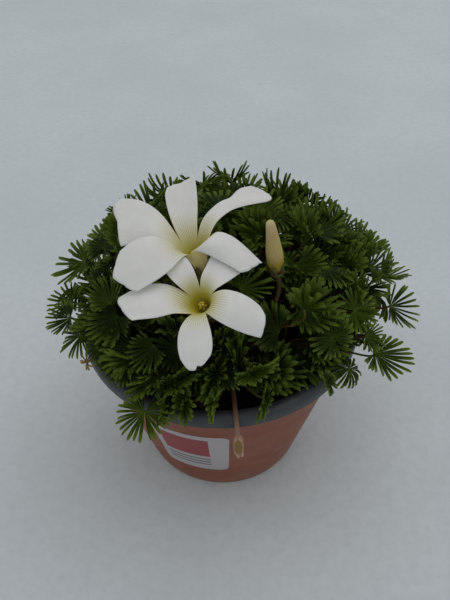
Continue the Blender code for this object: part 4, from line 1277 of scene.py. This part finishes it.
def leaflet_half_width(share, length, spacing, widest):
    """Half a leaflet's width: as wide as the fan allows, then nearly even, with a round tip."""
    fan = share * length * math.tan(spacing / 2) * LEAFLET_OVERLAP
    even = widest * (0.82 + 0.25 * share)
    past = max(0.0, (share - LEAFLET_TIP_START) / (1 - LEAFLET_TIP_START))
    return min(fan, even) * max(0.3, math.sqrt(max(0.0, 1 - past * past)))


def blade_marks(share, tone):
    """The marks of a blade's ring: edge, middle, edge and keel."""
    return [(share, edge, tone) for edge in (1.0, 0.0, 1.0, 1.0)]


def add_leaflet(shape, leaf, axes, hub, tip, spacing, widest, tone, rng, hairs, roll=LEAFLET_ROLL):
    """A leaflet folded along its middle, from the hub to its tip."""
    length = (tip - hub).length
    way = (tip - hub) / length
    beside = Vector((-way.y, way.x))
    roll, rise = rng.gauss(0, roll), rng.gauss(0, LEAFLET_LIFT)
    rings, edges = [], []
    for share in LEAFLET_ROWS:
        flat = hub + way * (length * share)
        middle = blade_spot(leaf, axes, flat)
        ahead = (blade_spot(leaf, axes, flat + way * NEAR_STEP) - middle).normalized()
        side = (blade_spot(leaf, axes, flat + beside * NEAR_STEP) - middle).normalized()
        normal = ahead.cross(side).normalized()
        middle += normal * (rise * length * share * share)
        half = leaflet_half_width(share, length, spacing, widest)
        wing = spoke((side, normal), roll) * (half * math.cos(LEAFLET_FOLD))
        top = normal * math.cos(roll) - side * math.sin(roll)
        lift = top * (half * math.sin(LEAFLET_FOLD))
        rings.append([middle - wing + lift, middle, middle + wing + lift, middle - top * LEAFLET_KEEL])
        edges.append((rings[-1][0], rings[-1][2], wing.normalized(), top, ahead))
    shape.loft(rings, [blade_marks(share, tone) for share in LEAFLET_ROWS], BLADE)
    for _ in range(hairs):
        row = rng.randrange(2, len(edges) - 1)
        which = rng.choice((0, 1))
        foot = edges[row][which].lerp(edges[row + 1][which], rng.random())
        outward = edges[row][2] * (1 if which else -1)
        way = outward + edges[row][3] * rng.uniform(0.2, 0.9) + edges[row][4] * rng.uniform(0, 0.8)
        shape.hair(foot, way.normalized(), HAIR_LENGTH * rng.uniform(0.6, 1.2), tone, HAIR)


def add_leaf(shape, leaf, rng, hairs=HAIRS_PER_LEAFLET):
    """A fan of folded leaflets that reach from a hub to the disc's rim, open towards the stalk's foot."""
    axes = fan_axes(leaf)
    tone = rng.random()
    count = rng.randint(FEWEST_LEAFLETS, MOST_LEAFLETS)
    openness = 1.0 if leaf.bend < 0 else UPTURNED_OPENNESS
    offset = leaf.radius * rng.uniform(*HUB_OFFSETS) * openness
    gap = rng.uniform(*FAN_GAPS) * openness
    widest = leaf.radius * rng.uniform(*LEAFLET_HALF_WIDTHS)
    if leaf.fold > HALF_CLOSED:
        widest *= CLOSED_WIDENING
        hairs *= CLOSED_HAIRS
    spacing = (math.tau - gap) / count
    hub = Vector((offset, 0))
    for number in range(count):
        angle = gap / 2 + spacing * (number + 0.5) + rng.gauss(0, LEAFLET_SWAY)
        way = Vector((math.cos(angle), math.sin(angle)))
        reach = math.sqrt(leaf.radius ** 2 - (offset * way.y) ** 2) - offset * way.x
        tip = hub + way * (reach * rng.uniform(*LEAFLET_REACHES))
        add_leaflet(shape, leaf, axes, hub, tip, spacing, widest, tone, rng, hairs)
    centre = blade_spot(leaf, axes, hub)
    profile = ((HUB_RADIUS, -0.3 * MM), (HUB_RADIUS, 0.02 * MM), (HUB_RADIUS * 0.5, 0.16 * MM))
    shape.solid(*turned(profile, HUB_SIDES, leaf.facing, centre), (0.0, 0.4, tone), BLADE)
    add_stalk(shape, leaf, centre, rng, tone)


def add_stalk(shape, leaf, top, rng, tone):
    """A leaf's stalk, thicker towards its foot, with its hairs."""
    curve = (top, *leaf.stalk[1:])
    redness = rng.uniform(-0.35, 0.45)
    route, radii, marks = [], [], []
    for step in range(FINE_STALK_STEPS + 1):
        share = step / FINE_STALK_STEPS
        route.append(bezier(curve, share))
        radii.append(FINE_STALK_RADIUS * (0.85 + 0.25 * share + 0.7 * max(0, share - 0.85) / 0.15))
        marks.append((1 - share, -redness, tone))
    shape.tube(route, radii, FINE_STALK_SIDES, marks, STALK)
    for _ in range(HAIRS_PER_STALK):
        share = rng.uniform(0.02, 0.9)
        place = bezier(curve, share)
        ahead = (bezier(curve, share + 0.05) - place).normalized()
        way = spoke(cross_axes(ahead), rng.uniform(0, math.tau))
        shape.hair(place + way * (FINE_STALK_RADIUS * 0.8), way, HAIR_LENGTH * 1.2, tone, HAIR)


def add_crown(shape, x, y, rng):
    """A low knob of dry scales, from which the stalks rise."""
    ground = soil_height(x, y)
    profile = (
        (CROWN_RADIUS, ground - CROWN_DEPTH),
        (CROWN_RADIUS, ground + CROWN_RISE * 0.35),
        (CROWN_RADIUS * 0.85, ground + CROWN_RISE * 0.7),
        (CROWN_RADIUS * 0.5, ground + CROWN_RISE * 0.95),
    )
    body = turned(profile, FINE_CROWN_SIDES, origin=Vector((x, y, 0)))
    shape.solid(*body, (0.0, 0.5, rng.random()), CROWN)


def make_tufts(leaves, materials):
    """The leaves of the solids, one piece for each tuft."""
    for crown, (x, y) in enumerate(crown_places()):
        node = f"leaf_tuft_{crown + 1:02d}"
        if node not in NODES:
            continue
        shape = Shape()
        add_crown(shape, x, y, random.Random(f"{SEED} crown {crown}"))
        for number, leaf in enumerate(leaf for leaf in leaves if leaf.crown == crown):
            add_leaf(shape, leaf, random.Random(f"{SEED} fine {crown} {number}"))
        dress(shape.make(f"leaves_{crown + 1:02d}", materials), "leaf", node)


def make_inner_leaves(leaves, materials):
    """The leaves between those of the solids, in a few pieces."""
    for group in range(INNER_GROUPS):
        shape = Shape()
        for number, leaf in enumerate(leaves):
            if leaf.crown % INNER_GROUPS == group:
                add_leaf(shape, leaf, random.Random(f"{SEED} inner {number}"))
        dress(shape.make(f"inner_leaves_{group + 1}", materials), "leaf")


def add_thread(shape, curve, radius, steps, marks, kind=0):
    """A thin even tube along a Bezier curve."""
    route = [bezier(curve, step / steps) for step in range(steps + 1)]
    shape.tube(route, [radius] * (steps + 1), THREAD_SIDES, marks, kind)


def make_withered_leaf(name, material):
    """A dead leaf: a few leaflets, each curled its own way, on a dry stalk."""
    (x, y), leaf = withered_leaf(name)
    rng = random.Random(f"{SEED} dry {name}")
    shape = Shape()
    shape.solid(*crown_shape(x, y, WITHERED_CROWN_RADIUS, WITHERED_CROWN_SIDES), (-1.0, 0.5, 0.5))
    axes, curl = fan_axes(leaf), leaf.bend
    spacing = math.tau / WITHERED_LEAFLETS
    for number in range(WITHERED_LEAFLETS):
        angle = spacing * number + rng.gauss(0, 0.12)
        leaf.bend = curl * rng.uniform(*WITHERED_CURLS)
        tip = Vector((math.cos(angle), math.sin(angle))) * (leaf.radius * rng.uniform(0.75, 1.02))
        widest = leaf.radius * WITHERED_HALF_WIDTH
        add_leaflet(shape, leaf, axes, Vector((0, 0)), tip, spacing, widest, 0.5, rng, 0, WITHERED_ROLL)
    steps = WITHERED_STALK_STEPS
    marks = [(-0.1 - step / steps, 0.5, 0.5) for step in range(steps + 1)]
    add_thread(shape, leaf.stalk, FINE_STALK_RADIUS, steps, marks)
    dress(shape.make(name.replace("leaf", "fan"), [material]), "withered", name)


def flower_frame(name):
    """The middle of a funnel's mouth, its foot, the way it faces and two directions across it."""
    throat, calyx = mm(FLOWERS[name]["throat"]), mm(FLOWERS[name]["calyx"])
    axis = (throat - calyx).normalized()
    return throat, calyx, axis, *cross_axes(axis)


def tube_radius(share):
    """The funnel's radius a share of the way from the calyx to its mouth."""
    return TUBE_BASE_RADIUS + (TUBE_MOUTH_RADIUS - TUBE_BASE_RADIUS) * share ** 1.5


def petal_sectors(name):
    """Each petal's bearings at the mouth: where it parts from the petal before and from the next."""
    bearings = [math.radians(bearing) for bearing in FLOWERS[name]["sinuses"]]
    return list(zip(bearings, bearings[1:] + [bearings[0] + math.tau]))


def petal_line(frame, bearing, middle, end, along):
    """A point on one of a petal's lines, which leaves the funnel's wall in one sweep."""
    throat, calyx, _, *axes = frame
    way = spoke(axes, bearing)
    rim = throat + way * TUBE_MOUTH_RADIUS
    control = middle * 2 - (rim + end) / 2
    if along > FLARE_END:
        return bezier((rim, control, end), along)
    wall = calyx.lerp(throat, FLARE_START) + way * tube_radius(FLARE_START)
    joint = bezier((rim, control, end), FLARE_END)
    flare = (wall, wall.lerp(rim, 0.7), rim.lerp(control, FLARE_END), joint)
    return bezier(flare, along / FLARE_END)


def petal_point(name, number, frame, sector, u, v):
    """A petal's point: u runs from the funnel to its end, and v from -1 to 1 across it, with a waved edge."""
    petal = FLOWERS[name]["petals"][number]
    along = u * (1 - PETAL_END_ROUNDING * v ** 4 * u)
    bearings = (sector[0], (sector[0] + sector[1]) / 2, sector[1])
    lines = []
    for bearing, middle, end in zip(bearings, petal[::2], petal[1::2]):
        lines.append(petal_line(frame, bearing, mm(middle), mm(end), along))
    first, rib, second = lines
    spot = rib + (second - first) * (v / 2) + ((first + second) / 2 - rib) * (v * v)
    for edge, place, reach, size in EDGE_SWELLS.get((name, number), ()):
        outward = (second - first).normalized() * edge
        share = max(0.0, v * edge) ** 2 * math.exp(-((u - place) / reach) ** 2)
        spot += outward * (size * MM * share)
    wave = noise.noise(Vector((u * 2.6, v * 1.6, number * 7.3 + len(name))))
    spot += frame[2] * (wave * RUFFLE * u * (0.4 + abs(v)))
    if u > END_START:
        side = 0 if v < -0.5 else 4 if v > 0.5 else 2
        ahead = (mm(petal[side + 1]) - mm(petal[side])).normalized()
        reach = stepped(END_SHAPES.get((name, number), PLAIN_END), v) * MM
        spot += ahead * (reach * ((u - END_START) / (1 - END_START)) ** 2)
    return spot


def make_corolla(name, inside, outside):
    """The funnel and its petals as one thin surface, with a finish for each side."""
    frame = flower_frame(name)
    throat, calyx, _, *axes = frame
    sectors = petal_sectors(name)
    columns = FINE_PETAL_COLUMNS
    across = [-1 + 2 * column / columns for column in range(columns + 1)]
    ways = []
    for start, end in sectors:
        ways += [spoke(axes, start + (end - start) * column / columns) for column in range(columns)]
    shape = Shape()
    below = None
    for row in range(FINE_TUBE_ROWS + 1):
        share = FLARE_START * row / FINE_TUBE_ROWS
        centre = calyx.lerp(throat, share)
        ring = [centre + way * tube_radius(share) for way in ways]
        above = shape.ring(ring, [(share - FLARE_START, v, 0.5) for v in across[:-1]] * PETALS)
        if below:
            shape.join(below, above)
        below = above
    mouth = below + below[:1]
    for number, sector in enumerate(sectors):
        below = mouth[number * columns:(number + 1) * columns + 1]
        for row in range(1, FINE_PETAL_ROWS + 1):
            u = row / FINE_PETAL_ROWS
            points = [petal_point(name, number, frame, sector, u, v) for v in across]
            above = shape.ring(points, [(u, v, 0.5) for v in across])
            shape.strip(below, above)
            below = above
    corolla = shape.make(name + "_corolla", [outside, inside], SOFT_EDGES, outwards=False)
    thicken(corolla, FINE_PETAL_THICKNESS, offset=0, back=1)
    dress(corolla, "petal", name + "_petals")


def stalk_route(name, top, axis, per_span):
    """From a flower's or bud's base down into its hole in the soil."""
    (x, y), bend = STALK_ROUTES[name]
    x, y = x * MM, y * MM
    ground = soil_height(x, y)
    places = [top, top - axis * 6 * MM, mm(bend), Vector((x, y, ground + 3 * MM))]
    return smooth_route(places, per_span) + [Vector((x, y, ground - STALK_ROOT_DEPTH))]


def add_sepal(shape, base, axis, outward, start_radius, end_radius, length, tone):
    """A narrow pointed sepal that clasps the tube above it."""
    across = axis.cross(outward)
    shares = [row / SEPAL_ROWS for row in range(SEPAL_ROWS + 1)]
    rings = []
    for share in shares:
        radius = start_radius + (end_radius - start_radius) * share ** 1.5
        centre = base + axis * (length * (share * 1.1 - 0.1)) + outward * radius
        half = 1.0 * MM * math.sin(math.pi * (0.22 + 0.76 * share)) ** 0.8
        cup = half * 0.35
        rings.append([
            centre - across * half - outward * cup,
            centre + outward * 0.12 * MM,
            centre + across * half - outward * cup,
            centre - outward * 0.14 * MM,
        ])
    shape.loft(rings, [blade_marks(share, tone) for share in shares])


def make_calyx(name, node, base, axis, tube_reach, end_radius, length, materials):
    """A stalk with its receptacle and five sepals."""
    rng = random.Random(f"{SEED} calyx {name}")
    route = stalk_route(name, base - axis * 1.2 * MM, axis, 8)
    shares = [step / len(route) for step in range(len(route))]
    shape = Shape()
    radii = [FLOWER_STALK_RADIUS * (0.8 + 0.2 * share) for share in shares]
    marks = [(0.4 * (1 - share), 0.5, 0.3) for share in shares]
    shape.tube(route, radii, FLOWER_STALK_SIDES, marks)
    cup = [(0.62 * MM, -2.6 * MM), (0.95 * MM, -1.9 * MM), (tube_reach * 0.8, -1.2 * MM)]
    cup += [(tube_reach, -0.6 * MM), (tube_reach * 0.9, -CLEARANCE)]
    shape.solid(*turned(cup, CUP_SIDES, axis, base), (0.5, 0.5, 0.5))
    axes = cross_axes(axis)
    for number in range(SEPALS):
        outward = spoke(axes, math.tau * (number + 0.5) / SEPALS)
        add_sepal(shape, base, axis, outward, tube_reach, end_radius, length, rng.random())
    for _ in range(HAIRS_PER_FLOWER_STALK):
        spot = rng.randrange(len(route) - 3)
        place = route[spot].lerp(route[spot + 1], rng.random())
        ahead = (route[spot + 1] - route[spot]).normalized()
        way = spoke(cross_axes(ahead), rng.uniform(0, math.tau))
        shape.hair(place + way * 0.6 * MM, way, HAIR_LENGTH * 1.3, 0.5, 1)
    dress(shape.make(node.replace("stalk", "stem"), materials), "flower_stalk", node)


def ball(shape, centre, axis, radius, length, mark, kind):
    """A small egg shape along an axis."""
    profile = [(0, -length / 2)]
    profile += [(radius * math.sin(math.pi * step / 6), length * (step / 6 - 0.5)) for step in range(1, 6)]
    profile.append((0, length / 2))
    shape.solid(*turned(profile, BALL_SIDES, axis, centre), mark, kind)


def make_stamens(name, materials):
    """Two whorls of stamens round five styles, in the funnel."""
    throat, calyx, axis, *axes = flower_frame(name)
    rng = random.Random(f"{SEED} stamens {name}")
    length = (throat - calyx).length
    thread_marks = [(step / THREAD_STEPS, 0.0, 0.5) for step in range(THREAD_STEPS + 1)]
    shape = Shape()
    knob = [(0, 0.0), (0.7 * MM, 0.2 * MM), (0.8 * MM, 1.2 * MM), (0.35 * MM, 2.2 * MM), (0, 2.3 * MM)]
    shape.solid(*turned(knob, KNOB_SIDES, axis, calyx + axis * 0.2 * MM), (0.0, 0.0, 0.5), FILAMENT)
    for number in range(2 * PETALS):
        tall = number % 2
        outward = spoke(axes, math.tau * number / (2 * PETALS))
        reach = length * STAMEN_REACHES[tall] + rng.uniform(-0.3, 0.3) * MM
        root = calyx + axis * 1.2 * MM + outward * 0.5 * MM
        top = calyx + axis * reach + outward * STAMEN_SPREADS[tall]
        curve = (root, root + axis * reach * 0.5, top - axis * 2 * MM, top)
        add_thread(shape, curve, FILAMENT_RADIUS, THREAD_STEPS, thread_marks, FILAMENT)
        lean = (axis + outward * rng.uniform(-0.3, 0.5)).normalized()
        ball(shape, top, lean, ANTHER_RADIUS, ANTHER_LENGTH, (1.0, 0.0, rng.random()), ANTHER)
    for number in range(PETALS):
        outward = spoke(axes, math.tau * (number + 0.5) / PETALS)
        root = calyx + axis * 2.0 * MM
        top = calyx + axis * length * STYLE_REACH + outward * STYLE_SPREAD * MM
        curve = (root, root + axis * 2 * MM, top - axis * 1.5 * MM, top)
        add_thread(shape, curve, STYLE_RADIUS, THREAD_STEPS, thread_marks, STIGMA)
        lean = (axis + outward).normalized()
        ball(shape, top, lean, STIGMA_RADIUS, STIGMA_LENGTH, (1.0, 0.0, 0.5), STIGMA)
    dress(shape.make(name + "_anthers", materials, SOFT_EDGES), "stamen", name + "_stamens")


def make_bud(material, stalk_materials):
    """Rolled petals: three edges that wind round the bud towards its tip."""
    base, tip = mm(BUD_BASE), mm(BUD_TIP)
    axis = (tip - base).normalized()
    axes = cross_axes(axis)
    length = (tip - base).length
    outline = smooth_route([Vector((share, radius * MM, 0)) for share, radius in BUD_OUTLINE], 8)
    outline = [(place.x, place.y) for place in outline]
    rings, marks = [], []
    for row in range(BUD_ROWS + 1):
        share = row / BUD_ROWS
        radius = stepped(outline, share)
        points, ring_marks = [], []
        for side in range(BUD_SIDES):
            angle = math.tau * side / BUD_SIDES
            phase = (angle / math.tau * BUD_EDGES + 0.9 * share + 0.15) % 1.0
            swell = 1 + 0.11 * (phase - 0.5) * min(1, share * 4)
            points.append(base + axis * (share * length) + spoke(axes, angle) * radius * swell)
            ring_marks.append((share, phase, 0.5))
        rings.append(points)
        marks.append(ring_marks)
    shape = Shape()
    shape.loft(rings, marks)
    dress(shape.make("bud_wrap", [material], SOFT_EDGES), "bud", "bud_petals")
    beside_bud = CLEARANCE + LEAF_THICKNESS / 2
    start, end = 1.7 * MM + beside_bud, 2.65 * MM + beside_bud
    make_calyx("bud", "bud_stalk", base, axis, start, end, BUD_SEPAL_LENGTH, stalk_materials)


def make_spent_flower(material):
    """A dry stalk over the lip, with the withered flower pressed into a ribbed husk at its end."""
    x, y = SPENT_ROOT[0] * MM, SPENT_ROOT[1] * MM
    ground = soil_height(x, y)
    places = [Vector((x, y, ground - STALK_ROOT_DEPTH)), Vector((x, y, ground + 3 * MM))]
    places += [mm(row[:3]) for row in SPENT_ROUTE]
    sizes = [FLOWER_STALK_RADIUS] * 2 + [row[3] * MM for row in SPENT_ROUTE]
    per_span = 6
    route = smooth_route(places, per_span)
    size_route = smooth_route([Vector((size, 0, 0)) for size in sizes], per_span)
    husk_start = len(route) - 1 - 4 * per_span
    route = route[:-HUSK_RINGS_OFF]
    rings, marks = [], []
    for index, ring in enumerate(swept(route, [1.0] * len(route), HUSK_SIDES, Vector((1, 0, 0)))):
        husk = max(0.0, (index - husk_start) / (len(route) - 1 - husk_start))
        blunt = HUSK_BLUNTING * max(0.0, husk - 0.6)
        along = husk if husk > 0 else -1 + 0.5 * index / husk_start
        points, ring_marks = [], []
        for side, unit in enumerate(ring):
            away = (unit - route[index]).normalized()
            rib = math.cos(math.tau * 5 * side / HUSK_SIDES + 2.0 * husk)
            turned_away = math.acos(max(-1.0, min(1.0, -away.y))) / HUSK_OVAL[0]
            crumple = noise.noise(Vector((side * 0.7, index * 0.45, 0)))
            radius = (size_route[index].x + blunt) * (1 + husk * (0.16 * rib + 0.12 * crumple))
            points.append(route[index] + (unit - route[index]) * radius)
            ring_marks.append((along, math.hypot(turned_away, (husk - 0.5) / HUSK_OVAL[1]), 0.5 - 0.5 * rib))
        rings.append(points)
        marks.append(ring_marks)
    shape = Shape()
    shape.loft(rings, marks)
    dress(shape.make("spent_bloom", [material], SOFT_EDGES), "withered", "spent_flower")


def pot_profile():
    """The pot's outline, radius, height and whether it is slate: up the inside, over the lip and down."""
    lip_bottom = POT_HEIGHT - LIP_DROP
    inner_lip = LIP_RADIUS - LIP_WIDTH
    foot_inner = BASE_RADIUS - FOOT_WIDTH
    slate = [(0, FLOOR_TOP), (wall_radius(FLOOR_TOP) - WALL - 1.0 * MM, FLOOR_TOP)]
    for height in (FLOOR_TOP + 1.0 * MM, 20 * MM, 40 * MM, 55 * MM, lip_bottom):
        slate.append((wall_radius(height) - WALL, height))
    slate.append((inner_lip, POT_HEIGHT - 0.9 * MM))
    slate.append((inner_lip + 0.25 * MM, POT_HEIGHT - 0.25 * MM))
    slate.append((inner_lip + 0.8 * MM, POT_HEIGHT))
    for step in range(8):
        angle = math.radians(90) * (1 - step / 7)
        reach = LIP_RADIUS - LIP_CORNER + LIP_CORNER * math.cos(angle)
        slate.append((reach, POT_HEIGHT - LIP_CORNER + LIP_CORNER * math.sin(angle)))
    slate.append((LIP_RADIUS, lip_bottom + 0.5 * MM))
    slate.append((LIP_RADIUS - 0.15 * MM, lip_bottom + 0.12 * MM))
    slate.append((LIP_RADIUS - 0.5 * MM, lip_bottom))
    clay = [(wall_radius(lip_bottom) + 0.3 * MM, lip_bottom)]
    for height in (lip_bottom - 0.5 * MM, 50 * MM, 35 * MM, 20 * MM, 6 * MM, 1.6 * MM):
        clay.append((wall_radius(height), height))
    clay += [(BASE_RADIUS - 0.1 * MM, 0.5 * MM), (BASE_RADIUS - 0.7 * MM, 0), (foot_inner, 0)]
    clay += [(foot_inner - 0.6 * MM, FLOOR_RECESS), (CENTRE_PAD_RADIUS + 0.8 * MM, FLOOR_RECESS)]
    clay += [(CENTRE_PAD_RADIUS, 0), (0, 0)]
    return [(*row, 1) for row in slate] + [(*row, 0) for row in clay]


def foot_notch(angle):
    """A low arch across the foot ring, as points and faces."""
    outward = Vector((math.cos(angle), math.sin(angle), 0))
    beside = Vector((-outward.y, outward.x, 0))
    half, low, top = FOOT_NOTCH_WIDTH / 2, -1 * MM, FOOT_NOTCH_HEIGHT
    outline = ((-half, low), (half, low), (half * 0.7, top), (-half * 0.7, top))
    points = []
    for reach in (BASE_RADIUS - FOOT_WIDTH - 3 * MM, BASE_RADIUS + 3 * MM):
        points += [outward * reach + beside * x + UP * z for x, z in outline]
    faces = [(0, 1, 2, 3), (4, 5, 6, 7)] + joined_rings([0, 1, 2, 3], [4, 5, 6, 7])
    return points, faces


def make_pot(materials):
    """The wall and lip turned from one outline, with the drain holes and foot notches cut out."""
    shape = Shape()
    last = None
    for radius, height, slate in pot_profile():
        last = shape.level_ring(last, radius, POT_SIDES, height, slate)
    pot = shape.make("pot_body", materials, POT_EDGES)
    drain = ((DRAIN_RADIUS, -2 * MM), (DRAIN_RADIUS, FLOOR_TOP + 2 * MM))
    drains = []
    for number in range(DRAIN_HOLES):
        angle = math.tau * number / DRAIN_HOLES + DRAIN_TURN
        place = Vector((math.cos(angle), math.sin(angle), 0)) * DRAIN_RING_RADIUS
        drains.append(turned(drain, DRAIN_SIDES, origin=place))
    notches = [foot_notch(math.tau * number / FOOT_NOTCHES) for number in range(FOOT_NOTCHES)]
    for name, bodies in (("drains", drains), ("notches", notches)):
        cutter = Shape()
        for points, faces in bodies:
            cutter.solid(points, faces)
        tool = cutter.make(name, [])
        cut = pot.modifiers.new(name, "BOOLEAN")
        cut.operation = "DIFFERENCE"
        cut.object = tool
        keep_evaluated(pot)
        bpy.data.objects.remove(tool, do_unlink=True)
    pot.data.set_sharp_from_angle(angle=math.radians(POT_EDGES))
    dress(pot, "pot_plastic", "pot")


def make_label(material):
    """A thin rounded panel on the wall, with a plain block and ruled lines."""
    middle = (LABEL_TOP + LABEL_BOTTOM) / 2
    radius = wall_radius(middle)
    width, height = (LABEL_START - LABEL_END) * radius, LABEL_TOP - LABEL_BOTTOM
    shape = Shape()
    below = None
    for row in range(LABEL_ROWS + 1):
        points, marks = [], []
        for column in range(LABEL_COLUMNS + 1):
            x, y = column / LABEL_COLUMNS - 0.5, row / LABEL_ROWS - 0.5
            x, y = rounded(x * width, y * height, width, height)
            bearing = (LABEL_START + LABEL_END) / 2 + x / radius
            reach = wall_radius(middle + y) + LABEL_PROUD
            points.append(Vector((reach * math.sin(bearing), -reach * math.cos(bearing), middle + y)))
            marks.append((x / width + 0.5, y / height + 0.5, 0.5))
        above = shape.ring(points, marks)
        if below:
            shape.strip(below, above)
        below = above
    label = shape.make("panel", [material], SOFT_EDGES, outwards=False)
    thicken(label, LABEL_PROUD * 0.9, offset=-1)
    dress(label, "pot_plastic")


def rounded(x, y, width, height):
    """Draws the points near a rectangle's corner in to its round corner."""
    inner_x, inner_y = width / 2 - LABEL_CORNER, height / 2 - LABEL_CORNER
    past_x, past_y = abs(x) - inner_x, abs(y) - inner_y
    if past_x > 0 and past_y > 0:
        far = max(past_x, past_y)
        length = math.hypot(past_x, past_y)
        past_x, past_y = past_x / length * far, past_y / length * far
        x = math.copysign(inner_x + past_x, x)
        y = math.copysign(inner_y + past_y, y)
    return x, y


def make_soil(material):
    """A plug down to the pot's floor, with a rough top and loose crumbs on it."""
    rng = random.Random(f"{SEED} soil")
    shape = Shape()
    edge = soil_radius(SOIL_EDGE)
    bottom = FLOOR_TOP + CLEARANCE
    profile = [(0, bottom), (soil_radius(bottom) - 1.2 * MM, bottom)]
    profile += [(soil_radius(height), height) for height in (bottom + 1.4 * MM, 40 * MM)]
    last = None
    for radius, height in profile:
        last = shape.level_ring(last, radius, SOIL_SIDES, height)
    for step in range(SOIL_RINGS, -1, -1):
        last = shape.level_ring(last, edge * step / SOIL_RINGS, SOIL_SIDES, rough_ground)
    for _ in range(CRUMBS):
        angle, reach = rng.uniform(0, math.tau), edge * math.sqrt(rng.random()) * 0.98
        x, y = reach * math.cos(angle), reach * math.sin(angle)
        size = rng.uniform(0.35, 1.3) * MM
        add_crumb(shape, Vector((x, y, rough_ground(x, y) + size * 0.1)), size, rng)
    dress(shape.make("soil_bed", [material], SOIL_EDGES), "soil", "potting_soil")


def rough_ground(x, y):
    """The height of the soil's crumbly top."""
    place = Vector((x, y, 0))
    coarse = noise.noise(place * 180) * 0.9
    fine = noise.noise(place * 700) * 0.5
    return soil_height(x, y) + (coarse + fine) * MM


def add_crumb(shape, centre, size, rng):
    """A small rough lump."""
    profile = ((0, -1), (0.8, -0.5), (1.0, 0.2), (0.6, 0.8), (0, 1))
    points, faces = turned([(r * size, h * size) for r, h in profile], 6)
    angle = rng.uniform(0, math.tau)
    axis = Vector((rng.gauss(0, 1), rng.gauss(0, 1), 1)).normalized()
    turn = Matrix.Rotation(angle, 3, axis)
    squash = Vector((rng.uniform(0.7, 1.2), rng.uniform(0.7, 1.2), rng.uniform(0.5, 0.9)))
    placed = []
    for point in points:
        rough = 1 + 0.25 * rng.uniform(-1, 1)
        placed.append(centre + turn @ Vector([p * s * rough for p, s in zip(point, squash)]))
    shape.solid(placed, faces)


def make_floor(material):
    shape = Shape()
    corners = ((-1, -1), (1, -1), (1, 1), (-1, 1))
    shape.face(shape.ring([Vector((x * FLOOR_HALF, y * FLOOR_HALF, FLOOR_HEIGHT)) for x, y in corners]))
    floor = shape.make("ground", [material], outwards=False)
    floor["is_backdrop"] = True


def make_lights():
    """An even sky and one large soft light high up behind the plant."""
    world = bpy.data.worlds.new("soft_sky")
    world.use_nodes = True
    sky = world.node_tree.nodes["Background"]
    sky.inputs["Color"].default_value = (*SKY_COLOUR, 1)
    sky.inputs["Strength"].default_value = SKY_STRENGTH
    bpy.context.scene.world = world
    light = bpy.data.lights.new("key", "AREA")
    light.shape = "DISK"
    light.size = KEY_SIZE
    light.energy = KEY_POWER
    light.color = KEY_COLOUR
    key = bpy.data.objects.new("key", light)
    key.location = KEY_PLACE
    key.rotation_euler = (Vector(KEY_TARGET) - Vector(KEY_PLACE)).to_track_quat("-Z", "Y").to_euler()
    bpy.context.scene.collection.objects.link(key)
    bpy.context.scene.view_settings.view_transform = "Standard"


def make_camera():
    """The photo's view: level with +X apart from its roll, and steeply down on the plant's front."""
    forward = Vector((0, math.cos(CAMERA_ELEVATION), -math.sin(CAMERA_ELEVATION)))
    right = Vector((1, 0, 0))
    up = right.cross(forward)
    c, s = math.cos(CAMERA_ROLL), math.sin(CAMERA_ROLL)
    matrix = Matrix((right * c - up * s, right * s + up * c, -forward)).transposed().to_4x4()
    matrix.translation = mm(CAMERA_TARGET) - forward * CAMERA_DISTANCE
    data = bpy.data.cameras.new("camera")
    data.lens = CAMERA_LENS
    data.sensor_width = CAMERA_SENSOR
    data.clip_start = 0.01
    camera = bpy.data.objects.new("camera", data)
    camera.matrix_world = matrix
    bpy.context.scene.collection.objects.link(camera)
    bpy.context.scene.camera = camera


def dress_leaves():
    hair = plain_finish("leaf_hair", (0.16, 0.21, 0.05), (0.28, 0.34, 0.12), 0.6)
    crown = plain_finish("crown_scales", (0.05, 0.025, 0.012), (0.12, 0.07, 0.035), 0.8, strength=0.8)
    materials = [leaf_finish(), leaf_stalk_finish(), hair, crown]
    outer, inner = grow_leaves()
    make_tufts(outer, materials)
    make_inner_leaves(inner, materials)


def dress_flowers():
    petal_inside = petal_finish("petal_inside", True)
    petal_outside = petal_finish("petal_outside", False)
    filament = plain_finish("filament", (0.6, 0.56, 0.3), (0.7, 0.66, 0.42), 0.5)
    anther = plain_finish("anther", (0.6, 0.42, 0.03), (0.78, 0.6, 0.08), 0.7, scale=1500, strength=0.7)
    stigma = plain_finish("stigma", (0.55, 0.46, 0.04), (0.65, 0.55, 0.08), 0.5)
    down = plain_finish("stalk_down", (0.05, 0.035, 0.015), (0.1, 0.08, 0.03), 0.7)
    stalk_materials = [flower_stalk_finish(), down]
    beside_tube = 0.7 * MM / 2 + CLEARANCE + LEAF_THICKNESS / 2
    for name in FLOWERS:
        throat, calyx, axis, *_ = flower_frame(name)
        make_corolla(name, petal_inside, petal_outside)
        make_stamens(name, [filament, anther, stigma])
        start = TUBE_BASE_RADIUS + beside_tube
        end = tube_radius(SEPAL_LENGTH / (throat - calyx).length) + beside_tube
        make_calyx(name, name + "_calyx_stalk", calyx, axis, start, end, SEPAL_LENGTH, stalk_materials)
    make_bud(bud_finish(), stalk_materials)


def dress_withered():
    make_spent_flower(spent_finish())
    material = withered_finish()
    for name in WITHERED_LEAVES:
        make_withered_leaf(name, material)


def dress_pot():
    make_pot([pot_wall_finish(), pot_lip_finish()])
    make_label(label_finish())
    make_soil(soil_finish())


make_camera()
make_lights()
dress_leaves()
dress_flowers()
dress_withered()
dress_pot()
make_floor(floor_finish())

bounds = {"cad": cad_bounds, "visual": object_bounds()}
{name: [list(map(float, corner)) for corner in corners] for name, corners in bounds.items()}
